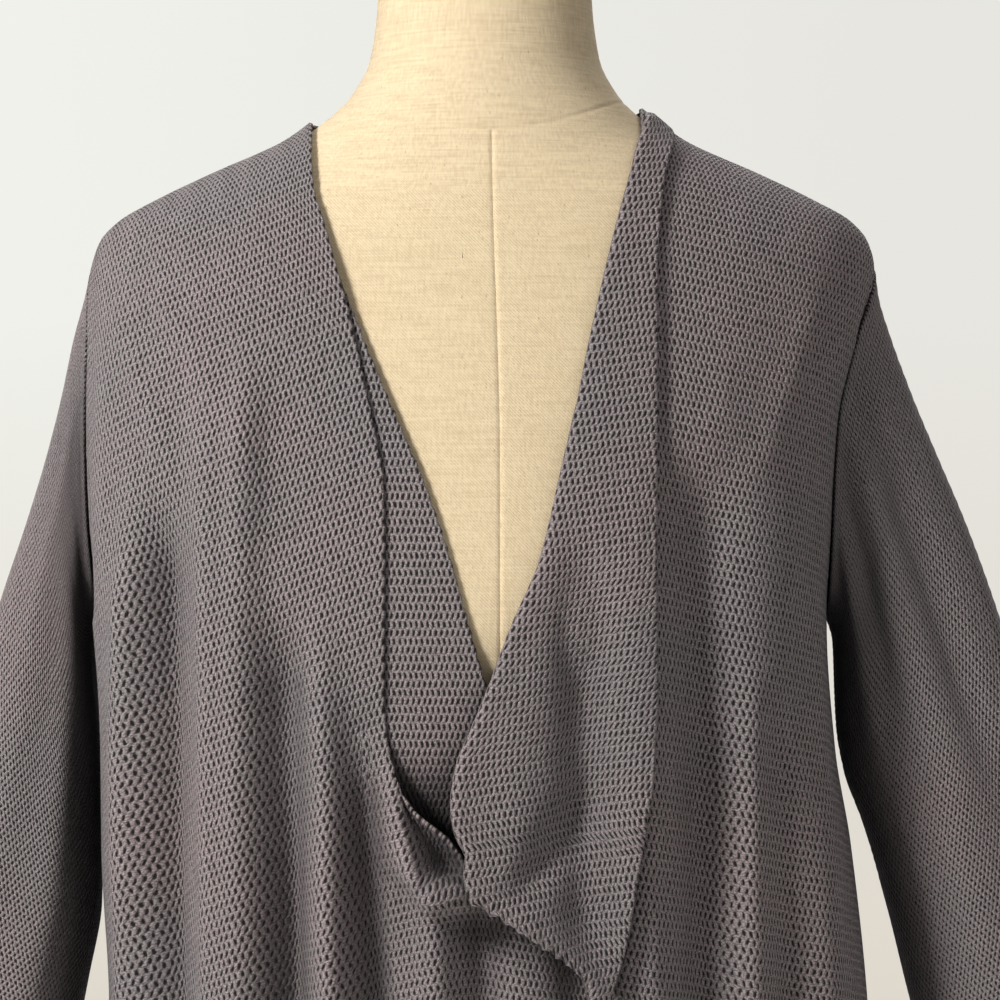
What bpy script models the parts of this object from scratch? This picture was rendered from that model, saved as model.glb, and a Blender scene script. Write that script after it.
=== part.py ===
"""Draped V-neck knit pullover on a limbless dress form with a pole and a round base.

Sizes are in millimetres and turned into metres when a mesh is made. Heights of cloth and torso are
measured from the neck points, where collar and shoulder seam meet; +Z is up and the front faces -Y.
The origin is the middle of the base's underside.
"""
import math

import bmesh
import bpy

MM = 0.001
NECK_POINT_HEIGHT = 900.0      # neck points above the floor
CLOTH = 2.0                    # knit wall
SEAM_GAP = 0.3                 # between neighbouring pieces
HEM = -640.0
UPPER_START = -118.0           # level where rows begin to follow the shoulder slope
LEFT_NECK_POINT = -3.7
RIGHT_NECK_POINT = 3.7
SHOULDER_TIP = -78.0
UNDERARM = -262
ARMHOLE_FRONT = 37.0           # reach of the armhole before and behind the side line
ARMHOLE_BACK = 45.0
BACK_NECK_RISE = 3.0

BODY_COLUMNS = ("z", "left", "right", "front", "back", "square", "end_left", "end_right")
BODY_ROWS = (
    (30, 62, 62, 56, 70, 2.00, 62, 62),
    (10, 74, 74, 62, 74, 2.00, 74, 74),
    (4, 81, 81, 64, 75, 2.00, 81, 81),
    (0, 86, 86, 66, 76, 2.00, 86, 86),
    (-14, 105, 105, 69, 80, 2.00, 105, 105),
    (-32, 145, 145, 74, 86, 2.00, 145, 145),
    (-45, 172, 172, 78, 91, 2.05, 172, 172),
    (-56, 191, 191, 81, 95, 2.10, 191, 191),
    (-66, 200, 199, 84, 98, 2.20, 200, 199),
    (-78, 204, 202, 87, 101, 2.30, 204, 202),
    (-118, 212, 193, 95, 107, 2.60, 203, 190),
    (-158, 217, 183.5, 103, 110, 2.70, 203, 180),
    (-200, 215, 179.5, 112, 110, 2.70, 202, 177),
    (-262, 207, 178.5, 122, 107, 2.60, 199, 175.5),
    (-328, 200, 182, 124, 105, 2.50, 198, 180.5),
    (-378, 199, 190, 124, 104, 2.40, 198, 189),
    (-462, 195, 199, 125, 109, 2.35, 194, 198),
    (-560, 198, 204, 128, 121, 2.30, 197, 203),
    (-640, 201, 208, 131, 127, 2.30, 201, 208),
)

# edges of the draped neck opening, x at each level
OPENING_COLUMNS = ("z", "rim", "ridge", "right", "under")
OPENING_ROWS = (
    (4, -88, -100, 81.5, -92),
    (-5, -90, -101.5, 82.5, -91.5),
    (-44, -86, -97, 75.5, -84.5),
    (-57, -81.5, -92.5, 72, -82),
    (-75, -76, -87.5, 67, -78),
    (-96, -70, -81, 62, -69.5),
    (-124, -63, -74, 56, -58.5),
    (-145, -58.5, -70, 52, -49.5),
    (-167, -53.5, -64, 48, -40),
    (-190, -49.5, -60, 42, -30),
    (-229, -48.5, -58, 32, -16.5),
    (-268, -48.5, -57, 17, -5.5),
    (-297, -48.5, -55, 6, 3),
    (-317, -46.5, -52, 4.5, 9),
    (-336, -41.5, -45.5, 3.5, 15),
    (-345, -37, -41, 3.5, 17.5),
    (-353, -30, -39, 3.5, 19.5),
    (-361, -19, -37, 3.5, 22),
    (-369, -12, -35, 3.5, 24),
    (-376, -8.5, -32.5, 3.5, 26),
    (-383, -5, -30, 3.5, 28),
    (-390, -0.5, -26, 4, 29.5),
    (-398, 0.5, -23, 6, 31.5),
    (-406, 0.5, -24, 9, 33.5),
    (-439, 0.5, -27, 11.5, 37.5),
    (HEM, 0.5, -29, 13.5, 37.5),
)
CUT_BOTTOM = -390              # the neck opening ends at this level
LIP_COLUMNS = ("z", "ridge_lift", "dish_drop", "edge_lift")
LIP_ROWS = (
    (-311, 0, 0, 0),
    (-336, 4, 0, 3.5),
    (-345, 7, 2, 6),
    (-353, 10, 5, 8.5),
    (-361, 13, 9, 10),
    (-369, 16, 12, 11),
    (-376, 18, 13, 11),
    (-383, 19, 10, 11),
    (-390, 17, 4, 11),
    (-398, 8, 0, 6),
    (-406, 3, 0, 2),
    (-420, 1, 0, 0.5),
    (-439, 0, 0, 0),
)
LIP_SPREAD = 14.0              # how far the lip's lift reaches into the panel

# soft folds: x and z of the upper and lower end, half width, height outward
FOLD_COLUMNS = ("x_top", "z_top", "x_low", "z_low", "half", "height")
FRONT_FOLDS = (
    (-136, -105, -130, HEM, 9, 7.5),
    (-147.5, -172, -144, HEM, 8, -6),
    (-78.5, -329, -69.5, HEM, 11, 7),
    (-95, -320, -91.5, HEM, 9, -4),
    (-38, -406, -25, HEM, 9, 6),
    (22.5, -448, 28, HEM, 12, 6),
    (88.5, -402, 96.5, HEM, 10, 5),
    (140.5, -265, 148, HEM, 9, 7.5),
    (153, -365, 162.5, HEM, 8, -6),
)
BACK_FOLDS = (
    (-150, -230, -156, HEM, 11, 6.3),
    (-90, -180, -98, HEM, 14, 4.9),
    (-20, -330, -26, HEM, 12, 5.6),
    (48, -250, 56, HEM, 13, -4.2),
    (88, -220, 96, HEM, 12, 6.3),
    (146, -260, 158, HEM, 10, 5.6),
)
FOLD_FADE = 90.0               # length over which a fold grows from its upper end

ROW_LEVELS = (HEM, -602, -562, -522, -485, -452, -429, -412, -400, -390, -382.5, -375, -368,
              -361, -353, -345, -335, -319, -300, -281, -262, -235, -206, -176, -147, -118)
UPPER_ROWS = 7
MAIN_COLUMNS = 11              # side to lip ridge
LIP_STEPS = 4
RIGHT_COLUMNS = 12
BACK_HALF_COLUMNS = 11
BACK_NECK_COLUMNS = 5

# the turned-over drape from the right neck point to below the dish
DRAPE_COLUMNS = ("at", "left_x", "left_z", "right_x", "right_z", "left_lift", "mid_lift", "right_lift")
DRAPE_ROWS = (
    (0, 81, 0, 93.5, -13.5, 4.6, 4.6, 4.6),
    (1, 76, -23.5, 88.5, -39.5, 5, 5, 4.8),
    (2, 63, -75, 85, -86, 4.2, 4.2, 4),
    (3, 52.5, -120.5, 84.5, -129.5, 3.4, 3.4, 3.4),
    (4, 44.5, -160.5, 84, -167, 3.4, 3.4, 3.4),
    (5, 36, -195.5, 83.5, -200, 3.6, 3.4, 3.4),
    (6, 27.5, -229, 83, -233.5, 4, 3.6, 3.6),
    (7, 12.5, -263, 83, -265, 6, 4, 4),
    (8, 1.5, -292, 83, -290.5, 9, 5, 5),
    (9, -7, -312.5, 82, -312.5, 12, 6, 6),
    (10, -13.5, -328.5, 80.5, -333, 14, 7, 7),
    (11, -16, -347, 78, -350.5, 16, 8, 8),
    (12, -14, -359.5, 76, -364, 17, 9, 8),
    (13, -9, -370.5, 73, -381, 18, 10, 8),
    (14, -10, -381, 70.5, -398, 19, 11, 8),
    (15, -7.5, -391.5, 68, -412, 21, 12, 8),
    (16, 5.5, -398, 65, -424, 21, 13, 8),
    (17, 22.5, -410, 61.5, -434, 19, 13, 9),
    (18, 39, -422, 59.5, -444, 17, 12, 9),
    (19, 47.5, -431, 57, -451.5, 15, 12, 9),
    (20, 46.5, -441, 54, -458.5, 13, 11, 8),
    (21, 41, -449.5, 48.5, -463, 11, 9, 8),
)
DRAPE_STEPS = 8
DRAPE_SECTIONS = 26
DRAPE_CROWDING = 1.4           # sections stand closer toward the upper end

UNDER_TOP = -87.0
UNDER_BOTTOM = -376.0
UNDER_DEPTH = -2.7             # this layer lies behind the front's rim
UNDER_TUCK = 13.0
UNDER_STRAIGHT = -319.0        # below this level the tucked side goes straight down
UNDER_ROWS = 17
UNDER_COLUMNS = 6

# sleeves: outer and inner line in the frontal plane, reach before and behind, shift to the back
SLEEVE_COLUMNS = ("at", "outer_x", "outer_z", "inner_x", "inner_z", "front", "back", "shift")
LEFT_SLEEVE_ROWS = (
    (0, 206.5, -78, 201, -264, 37, 45, 0),
    (1, 209, -92, 204, -269, 36, 44, 1),
    (2, 213.5, -112, 206.5, -277, 36, 43, 2),
    (3, 219, -140, 208, -289, 36, 43, 3),
    (4, 228, -175, 208.5, -304, 37, 43, 4),
    (5, 240, -213, 208.5, -322, 38, 43, 5),
    (6, 253.5, -252, 208, -345, 39, 43, 6),
    (7, 267.5, -300, 207.5, -376, 40, 43, 6),
    (8, 282.5, -350, 208, -412, 41, 42, 6),
    (9, 299, -405, 211, -452, 41, 41, 5),
    (10, 315.5, -462, 219, -497, 40, 40, 4),
    (11, 330, -516, 233, -545, 38, 38, 2),
    (12, 341, -566, 248, -592, 35, 35, 0),
    (13, 350, -612, 262, -636, 32, 32, -2),
)
RIGHT_SLEEVE_ROWS = (
    (0, 204.5, -78, 177.5, -264, 37, 45, 0),
    (1, 206, -92, 181, -269, 36, 44, 1),
    (2, 212, -115, 184, -278, 36, 43, 2),
    (3, 222, -143, 186, -290, 36, 43, 3),
    (4, 236, -176, 187, -304, 37, 43, 4),
    (5, 251, -211, 188, -321, 38, 43, 5),
    (6, 266, -252, 191, -343, 39, 43, 6),
    (7, 281, -300, 200.5, -372, 40, 43, 6),
    (8, 297, -352, 213, -416, 41, 42, 6),
    (9, 314, -408, 226, -468, 41, 41, 5),
    (10, 331, -464, 241, -514, 40, 40, 4),
    (11, 345, -518, 254, -555, 38, 38, 2),
    (12, 356, -566, 266, -596, 35, 35, 0),
    (13, 365, -612, 277, -636, 32, 32, -2),
)
SLEEVE_RINGS = 16
SLEEVE_CROWDING = 1.15         # rings stand closer toward the shoulder
RIPPLE_FADE = 2.0              # stations over which a sleeve's ridge grows at each end
LAP_CLEARANCE = 0.4            # between the sleeve and the body beneath its lapped edge
TOP_OUT = 0.5                  # start of the sleeve's top below the shoulder tip
TOP_DOWN = 1.6
SLEEVE_BLEND = 3.0             # stations over which the armhole's own shape passes into the sleeve's
# ridges along a sleeve: turn from the outer line, upper and lower station, half width, height outward
SLEEVE_FOLD_COLUMNS = ("turn", "first", "last", "half", "height")
LEFT_SLEEVE_FOLDS = (
    (38, 2.0, 12.0, 15, 2.5),
    (95, 3.5, 13.0, 17, -3.0),
    (-60, 3.0, 13.0, 20, 2.5),
)
RIGHT_SLEEVE_FOLDS = (
    (34, 1.5, 11.0, 13, 3.0),
    (64, 1.5, 9.0, 12, -3.0),
    (98, 2.5, 12.0, 15, 3.0),
    (-70, 3.0, 13.0, 20, 2.5),
)

FORM_COLUMNS = ("z", "half", "front", "back", "square")
FORM_ROWS = (
    (85, 55.5, 47, 62, 2.00),
    (62, 56, 48.5, 62.5, 2.00),
    (30, 60, 53, 64.5, 2.00),
    (12, 69, 58, 66.5, 2.00),
    (3, 77.0, 61, 68.5, 2.00),
    (-3, 84.0, 62.5, 69.5, 2.00),
    (-17, 104.5, 65.5, 74.5, 2.00),
    (-35, 144.5, 70.5, 81, 2.00),
    (-48, 171, 75, 87, 2.05),
    (-59, 187, 78, 91, 2.10),
    (-69, 192.5, 81, 94, 2.20),
    (-82, 193.5, 83, 97, 2.30),
    (-118, 184, 90, 103, 2.40),
    (-158, 175, 98, 105, 2.35),
    (-200, 168, 107, 104, 2.25),
    (-262, 160, 117, 98, 2.15),
    (-330, 145, 102, 90, 2.10),
    (-400, 131, 88, 84, 2.10),
    (-480, 150, 95, 97, 2.15),
    (-560, 171, 101, 106, 2.20),
    (-620, 176, 102, 109, 2.20),
    (-655, 174, 99, 106, 2.20),
)
FORM_LEVELS = (-655, -637, -600, -555, -505, -450, -400, -350, -305, -262, -225, -190, -155, -122, -98,
               -82, -73, -65, -57, -48, -38, -28, -18, -9, -2, 5, 12, 24, 42, 64, 85)
FORM_SIDES = 32

CAP_EDGE = 4.0
CAP_HEIGHT = 12.0
CAP_MARGIN = 2.0
POLE_RADIUS = 14.0
FLANGE_RADIUS = 42.0
FLANGE_HEIGHT = 9.0
FOOT_RADIUS = 34.0
FOOT_HEIGHT = 16.0
FOOT_EASE = 5.0
BASE_RADIUS = 165.0
BASE_HEIGHT = 16.0
BASE_EDGE = 5.0
ROUND_SIDES = 36
CHAMFER = 1.0
ROUND_SHARE = 0.3              # a rounded edge passes this share in from its corner

KNIT_COLOUR = (0.115, 0.10, 0.10, 1.0)
LINEN_COLOUR = (0.72, 0.62, 0.44, 1.0)
CAP_COLOUR = (0.42, 0.27, 0.14, 1.0)
METAL_COLOUR = (0.32, 0.31, 0.30, 1.0)

ARC_SAMPLES = 72
PULL_START = 0.72              # share of a half arc from which its end is drawn to the side line
ARMHOLE_POWER = 2.4
PATH_SAMPLES = 60


class Curve:
    """Monotone cubic through stations in rising order."""

    def __init__(self, stations, values):
        self.stations = stations
        self.values = values
        steps = [b - a for a, b in zip(stations, stations[1:])]
        rises = [(b - a) / h for a, b, h in zip(values, values[1:], steps)]
        inner = [self.slope(a, b) for a, b in zip(rises, rises[1:])]
        self.slopes = [rises[0]] + inner + [rises[-1]]

    @staticmethod
    def slope(before, after):
        if before * after <= 0.0:
            return 0.0
        return 2.0 * before * after / (before + after)

    def __call__(self, at):
        if at <= self.stations[0]:
            return self.values[0]
        if at >= self.stations[-1]:
            return self.values[-1]
        k = 0
        while at > self.stations[k + 1]:
            k += 1
        h = self.stations[k + 1] - self.stations[k]
        t = (at - self.stations[k]) / h
        a = self.values[k]
        b = self.values[k + 1]
        start = self.slopes[k] * h
        end = self.slopes[k + 1] * h
        cubic = (2 * a - 2 * b + start + end) * t ** 3
        square = (3 * b - 3 * a - 2 * start - end) * t ** 2
        return cubic + square + start * t + a


def curves(columns, rows):
    """One curve for each named column, over the first column."""
    ordered = sorted(rows)
    stations = [row[0] for row in ordered]
    return {name: Curve(stations, [row[i] for row in ordered]) for i, name in enumerate(columns) if i}


BODY = curves(BODY_COLUMNS, BODY_ROWS)
OPENING = curves(OPENING_COLUMNS, OPENING_ROWS)
LIP = curves(LIP_COLUMNS, LIP_ROWS)
DRAPE = curves(DRAPE_COLUMNS, DRAPE_ROWS)
FORM = curves(FORM_COLUMNS, FORM_ROWS)


def mix(a, b, t):
    return a + (b - a) * t


def ease(t):
    t = min(max(t, 0.0), 1.0)
    return t * t * (3.0 - 2.0 * t)


# ---------------------------------------------------------------- the body's skin

def side_name(x):
    return "left" if x < 0 else "right"


def face_sign(face):
    return -1.0 if face == "front" else 1.0


def skin_y(x, z, face):
    """Depth of the plain body surface at a place seen from the front."""
    half = BODY[side_name(x)](z)
    square = BODY["square"](z)
    ratio = min(abs(x) / half, 1.0)
    return face_sign(face) * BODY[face](z) * (1.0 - ratio ** square) ** (1.0 / square)


def outward(x, y, z):
    """Level direction away from the body at a place on its skin."""
    face = "front" if y < 0 else "back"
    half = BODY[side_name(x)](z)
    depth = BODY[face](z)
    power = BODY["square"](z) - 1.0
    nx = math.copysign((min(abs(x) / half, 1.0)) ** power / half, x)
    ny = math.copysign((min(abs(y) / depth, 1.0)) ** power / depth, y)
    size = math.hypot(nx, ny)
    return nx / size, ny / size


def armhole_reach(z, face):
    """How far the armhole cuts in from the side line at a level."""
    middle = (SHOULDER_TIP + UNDERARM) / 2.0
    tall = (SHOULDER_TIP - UNDERARM) / 2.0
    ratio = (z - middle) / tall
    if abs(ratio) >= 1.0:
        return 0.0
    depth = ARMHOLE_FRONT if face == "front" else ARMHOLE_BACK
    return depth * (1.0 - abs(ratio) ** ARMHOLE_POWER) ** 0.5


def half_arc(side, face, z):
    """Points from the middle to the side seam, armhole or shoulder ridge, with lengths."""
    sign = -1.0 if side == "left" else 1.0
    half = BODY[side](z)
    depth = BODY[face](z)
    square = BODY["square"](z)
    reach = armhole_reach(z, face)
    last = math.acos((reach / depth) ** (square / 2.0))
    end_x = half * math.sin(last) ** (2.0 / square)
    pull = BODY["end_" + side](z) - end_x
    points = []
    for k in range(ARC_SAMPLES + 1):
        t = k / ARC_SAMPLES
        turn = last * t
        x = half * math.sin(turn) ** (2.0 / square) + pull * ease((t - PULL_START) / (1.0 - PULL_START))
        y = depth * max(math.cos(turn), 0.0) ** (2.0 / square)
        points.append((sign * x, face_sign(face) * y))
    lengths = [0.0]
    for a, b in zip(points, points[1:]):
        lengths.append(lengths[-1] + math.dist(a, b))
    return points, lengths


def along(points, lengths, at):
    """Point at a length on a polyline."""
    at = min(max(at, 0.0), lengths[-1])
    k = 0
    while k < len(lengths) - 2 and lengths[k + 1] < at:
        k += 1
    t = (at - lengths[k]) / max(lengths[k + 1] - lengths[k], 1e-9)
    return tuple(mix(a, b, t) for a, b in zip(points[k], points[k + 1]))


def length_at(points, lengths, x):
    """Length at which a half arc reaches a distance from the middle."""
    for k in range(len(points) - 1):
        if abs(points[k + 1][0]) >= abs(x):
            near = abs(points[k][0])
            far = abs(points[k + 1][0])
            return mix(lengths[k], lengths[k + 1], (abs(x) - near) / max(far - near, 1e-9))
    return lengths[-1]


def fold_lift(folds, x, z):
    """Outward lift of the soft folds at a place."""
    total = 0.0
    for fold in folds:
        row = dict(zip(FOLD_COLUMNS, fold))
        t = (row["z_top"] - z) / (row["z_top"] - row["z_low"])
        if t <= 0.0:
            continue
        grown = ease((row["z_top"] - z) / FOLD_FADE)
        offset = (x - mix(row["x_top"], row["x_low"], t)) / row["half"]
        total += row["height"] * grown * math.exp(-offset * offset)
    return total


def lip_lift(x, z):
    """Lift of the front round the draped dish and its rolled ridge."""
    ridge = OPENING["ridge"](z)
    rim = OPENING["rim"](z)
    high = LIP["ridge_lift"](z)
    edge = LIP["edge_lift"](z)
    if x < ridge:
        return high * math.exp(-((x - ridge) / LIP_SPREAD) ** 2)
    if x > rim:
        return edge * math.exp(-((x - rim) / LIP_SPREAD) ** 2)
    t = (x - ridge) / max(rim - ridge, 1e-6)
    return mix(high, edge, t) - LIP["dish_drop"](z) * math.sin(math.pi * t)


def front_lift(x, z):
    return fold_lift(FRONT_FOLDS, x, z) + lip_lift(x, z)


def back_lift(x, z):
    return fold_lift(BACK_FOLDS, x, z)


def lifted(x, y, z, lift):
    nx, ny = outward(x, y, z)
    return x + nx * lift, y + ny * lift, z


def front_point(x, z, lift):
    """Point over the front's skin, by x and level."""
    return lifted(x, skin_y(x, z, "front"), z, lift)


# ---------------------------------------------------------------- rows of the front and the back

def ridge_point(x):
    """Point of the shoulder ridge above a distance from the middle."""
    side = side_name(x)
    low = SHOULDER_TIP
    high = 8.0
    for _ in range(40):
        middle = (low + high) / 2.0
        if BODY[side](middle) > abs(x):
            low = middle
        else:
            high = middle
    return (low + high) / 2.0


def climbing(start_x, target_x, target_z, face, bend):
    """Evenly spaced points from the upper start level to a target on the top edge."""
    points = []
    for k in range(PATH_SAMPLES + 1):
        t = math.sin(math.pi / 2.0 * k / PATH_SAMPLES)
        z = mix(UPPER_START, target_z, t)
        x = mix(start_x, target_x, t) + bend(z, t)
        x = math.copysign(min(abs(x), BODY[side_name(x)](z)), x)
        points.append((x, skin_y(x, z, face), z))
    points[-1] = (target_x, skin_y(target_x, target_z, face), target_z)
    return spread(points, UPPER_ROWS)[1:]


def spread(points, count):
    """Points evenly spaced along a polyline."""
    lengths = [0.0]
    for a, b in zip(points, points[1:]):
        lengths.append(lengths[-1] + math.dist(a, b))
    return [along(points, lengths, lengths[-1] * k / count) for k in range(count + 1)]


def armhole_edge(side, face):
    """Evenly spaced points up the armhole's edge to the shoulder tip."""
    points = []
    for k in range(PATH_SAMPLES + 1):
        z = mix(UPPER_START, SHOULDER_TIP, math.sin(math.pi / 2.0 * k / PATH_SAMPLES))
        arc, _ = half_arc(side, face, z)
        points.append((arc[-1][0], arc[-1][1], z))
    return spread(points, UPPER_ROWS)[1:]


def front_row(z):
    """Places on the front at one level, from the left side to the right side."""
    left, left_lengths = half_arc("left", "front", z)
    right, right_lengths = half_arc("right", "front", z)
    rim = OPENING["rim"](z)
    ridge = OPENING["ridge"](z)
    inner = OPENING["right"](z)
    row = []
    ridge_at = length_at(left, left_lengths, ridge)
    for j in range(MAIN_COLUMNS):
        row.append(along(left, left_lengths, mix(left_lengths[-1], ridge_at, j / MAIN_COLUMNS)))
    for j in range(LIP_STEPS + 1):
        x = mix(ridge, rim, j / LIP_STEPS)
        row.append((x, skin_y(x, z, "front")))
    inner_at = length_at(right, right_lengths, inner)
    for j in range(RIGHT_COLUMNS + 1):
        row.append(along(right, right_lengths, mix(inner_at, right_lengths[-1], j / RIGHT_COLUMNS)))
    return [lifted(x, y, z, front_lift(x, z)) for x, y in row]


def front_upper(start):
    """Rows of the front above the start row, as a list of columns that climb to the ridge."""
    columns = []
    left_count = MAIN_COLUMNS + LIP_STEPS
    for j in range(len(start)):
        is_left = j <= left_count
        side = "left" if is_left else "right"
        if j == 0 or j == len(start) - 1:
            columns.append(armhole_edge(side, "front"))
            continue
        tip = -BODY["left"](SHOULDER_TIP) if is_left else BODY["right"](SHOULDER_TIP)
        neck_level = LEFT_NECK_POINT if is_left else RIGHT_NECK_POINT
        neck = -BODY["left"](neck_level) if is_left else BODY["right"](neck_level)
        edge = "rim" if is_left else "right"
        edge_start = OPENING[edge](UPPER_START)
        start_x = start[j][0]
        share = (start_x - edge_start) / (start[0 if is_left else -1][0] - edge_start)
        target_x = mix(neck, tip, share)
        target_z = ridge_point(target_x)

        def bend(z, t, edge=edge, edge_start=edge_start, neck=neck, share=share):
            own = OPENING[edge](z) - mix(edge_start, neck, t)
            return own * (1.0 - share) ** 3 * (1.0 - t ** 6)

        columns.append(climbing(start_x, target_x, target_z, "front", bend))
    return columns


def front_grid():
    rows = [front_row(z) for z in ROW_LEVELS]
    columns = front_upper(rows[-1])
    for k in range(UPPER_ROWS):
        rows.append([column[k] for column in columns])
    return rows


def back_row(z):
    row = []
    left, left_lengths = half_arc("left", "back", z)
    right, right_lengths = half_arc("right", "back", z)
    for j in range(BACK_HALF_COLUMNS):
        row.append(along(left, left_lengths, left_lengths[-1] * (1.0 - j / BACK_HALF_COLUMNS)))
    for j in range(BACK_HALF_COLUMNS + 1):
        row.append(along(right, right_lengths, right_lengths[-1] * j / BACK_HALF_COLUMNS))
    return [lifted(x, y, z, back_lift(x, z)) for x, y in row]


def back_target(j):
    """Where a column of the back ends: on the neckline or on the shoulder ridge."""
    step = j - BACK_HALF_COLUMNS
    side = "left" if step < 0 else "right"
    sign = -1.0 if step < 0 else 1.0
    neck_level = LEFT_NECK_POINT if step < 0 else RIGHT_NECK_POINT
    if abs(step) <= BACK_NECK_COLUMNS:
        turn = math.pi / 2.0 * abs(step) / BACK_NECK_COLUMNS
        z = mix(BACK_NECK_RISE, neck_level, abs(step) / BACK_NECK_COLUMNS)
        return sign * BODY[side](z) * math.sin(turn), z
    share = (abs(step) - BACK_NECK_COLUMNS) / (BACK_HALF_COLUMNS - BACK_NECK_COLUMNS)
    x = sign * mix(BODY[side](neck_level), BODY[side](SHOULDER_TIP), share)
    return x, ridge_point(x)


def straight(z, t):
    return 0.0


def back_grid():
    rows = [back_row(z) for z in ROW_LEVELS]
    columns = []
    last = 2 * BACK_HALF_COLUMNS
    for j in range(last + 1):
        if j in (0, last):
            columns.append(armhole_edge("left" if j == 0 else "right", "back"))
            continue
        target_x, target_z = back_target(j)
        columns.append(climbing(rows[-1][j][0], target_x, target_z, "back", straight))
    for k in range(UPPER_ROWS):
        rows.append([column[k] for column in columns])
    return rows


def under_grid():
    """The inner wrap layer, from behind the rim to its own edge and on behind the drape."""
    rows = []
    for i in range(UNDER_ROWS + 1):
        z = mix(UNDER_BOTTOM, UNDER_TOP, i / UNDER_ROWS)
        rim = OPENING["rim"](max(z, UNDER_STRAIGHT))
        right = OPENING["under"](z)
        row = []
        for j in range(UNDER_COLUMNS + 1):
            x = mix(rim - UNDER_TUCK, right, j / UNDER_COLUMNS)
            row.append(front_point(x, z, UNDER_DEPTH))
        rows.append(row)
    return rows


def drape_grid():
    """The turned-over drape, ruled between its left and right edge and lifted off the front."""
    rows = []
    last = len(DRAPE_ROWS) - 1
    for i in range(DRAPE_SECTIONS + 1):
        at = last * (1.0 - i / DRAPE_SECTIONS) ** DRAPE_CROWDING
        value = {name: DRAPE[name](at) for name in DRAPE_COLUMNS[1:]}
        row = []
        for j in range(DRAPE_STEPS + 1):
            t = j / DRAPE_STEPS
            x = mix(value["left_x"], value["right_x"], t)
            z = mix(value["left_z"], value["right_z"], t)
            ends = mix(value["left_lift"], value["right_lift"], t)
            middle = value["mid_lift"] - (value["left_lift"] + value["right_lift"]) / 2.0
            x = min(x, BODY["right"](z))
            row.append(front_point(x, z, ends + middle * math.sin(math.pi * t)))
        rows.append(row)
    return rows


# ---------------------------------------------------------------- sleeves

def armhole_loop(front, back, side):
    """Armhole points from the shoulder tip down the front to the underarm and up the back."""
    column = 0 if side == "left" else -1
    first = ROW_LEVELS.index(UNDERARM)
    down_front = [row[column] for row in reversed(front[first:])]
    up_back = [row[column] for row in back[first + 1:-1]]
    return down_front + up_back


def loop_turns(loop, count_front):
    """Turn of each armhole point round the sleeve, from 0 at the tip over 180 at the underarm."""
    lengths = [0.0]
    for a, b in zip(loop, loop[1:] + loop[:1]):
        lengths.append(lengths[-1] + math.dist(a, b))
    half = lengths[count_front]
    turns = []
    for k in range(len(loop)):
        if k <= count_front:
            turns.append(math.pi * lengths[k] / half)
        else:
            turns.append(math.pi * (1.0 + (lengths[k] - half) / (lengths[-1] - half)))
    return turns


def sleeve_ripple(folds, turn, at):
    total = 0.0
    for fold in folds:
        row = dict(zip(SLEEVE_FOLD_COLUMNS, fold))
        grown = ease((at - row["first"]) / RIPPLE_FADE) * ease((row["last"] - at) / RIPPLE_FADE)
        gap = (math.degrees(turn) - row["turn"] + 180.0) % 360.0 - 180.0
        total += row["height"] * grown * math.exp(-(gap / row["half"]) ** 2)
    return total


def sleeve_point(table, folds, sign, turn, at):
    """Point of the plain sleeve at a turn round it and a station along it."""
    value = {name: table[name](at) for name in SLEEVE_COLUMNS[1:]}
    middle_x = (value["outer_x"] + value["inner_x"]) / 2.0
    middle_z = (value["outer_z"] + value["inner_z"]) / 2.0
    arm_x = (value["outer_x"] - value["inner_x"]) / 2.0
    arm_z = (value["outer_z"] - value["inner_z"]) / 2.0
    reach = value["front"] if math.sin(turn) > 0 else value["back"]
    ripple = sleeve_ripple(folds, turn, at)
    grow = 1.0 + ripple / math.hypot(arm_x, arm_z)
    x = middle_x + arm_x * math.cos(turn) * grow
    z = middle_z + arm_z * math.cos(turn) * grow
    y = value["shift"] - (reach + ripple) * math.sin(turn)
    return sign * x, y, z


def sleeve_clearance(turn):
    """How far out of and below the armhole's edge a sleeve starts: butted at the top, lapped below."""
    above = max(math.cos(turn), 0.0)
    below = max(-math.cos(turn), 0.0)
    lapped = CLOTH / 2.0 + LAP_CLEARANCE + (CLOTH / 2.0) * below
    return mix(lapped, TOP_OUT, above), TOP_DOWN * above


def sleeve_grid(rows, folds, side, front, back):
    """Rings from the armhole to the cuff, closed round the sleeve."""
    table = curves(SLEEVE_COLUMNS, rows)
    sign = -1.0 if side == "left" else 1.0
    loop = armhole_loop(front, back, side)
    count_front = len(front) - 1 - ROW_LEVELS.index(UNDERARM)
    own_turns = loop_turns(loop, count_front)
    last = rows[-1][0]
    grid = []
    for i in range(SLEEVE_RINGS + 1):
        share = i / SLEEVE_RINGS
        at = last * share ** SLEEVE_CROWDING
        settle = ease(at / SLEEVE_BLEND)
        ring = []
        for k, turn in enumerate(own_turns):
            even = 2.0 * math.pi * k / len(own_turns)
            used = mix(turn, even, ease(at / (2.0 * SLEEVE_BLEND)))
            plain = sleeve_point(table, folds, sign, used, at)
            start = sleeve_point(table, (), sign, turn, 0.0)
            out, down = sleeve_clearance(turn)
            own = (loop[k][0] + sign * out, loop[k][1], loop[k][2] - down)
            ring.append(tuple(p + (o - s) * (1.0 - settle) for p, o, s in zip(plain, own, start)))
        grid.append(ring)
    return grid


# ---------------------------------------------------------------- walls from grids

def subtract(a, b):
    return (a[0] - b[0], a[1] - b[1], a[2] - b[2])


def cross(a, b):
    return (a[1] * b[2] - a[2] * b[1], a[2] * b[0] - a[0] * b[2], a[0] * b[1] - a[1] * b[0])


def unit(a):
    size = math.sqrt(a[0] ** 2 + a[1] ** 2 + a[2] ** 2)
    return (a[0] / size, a[1] / size, a[2] / size)


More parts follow.
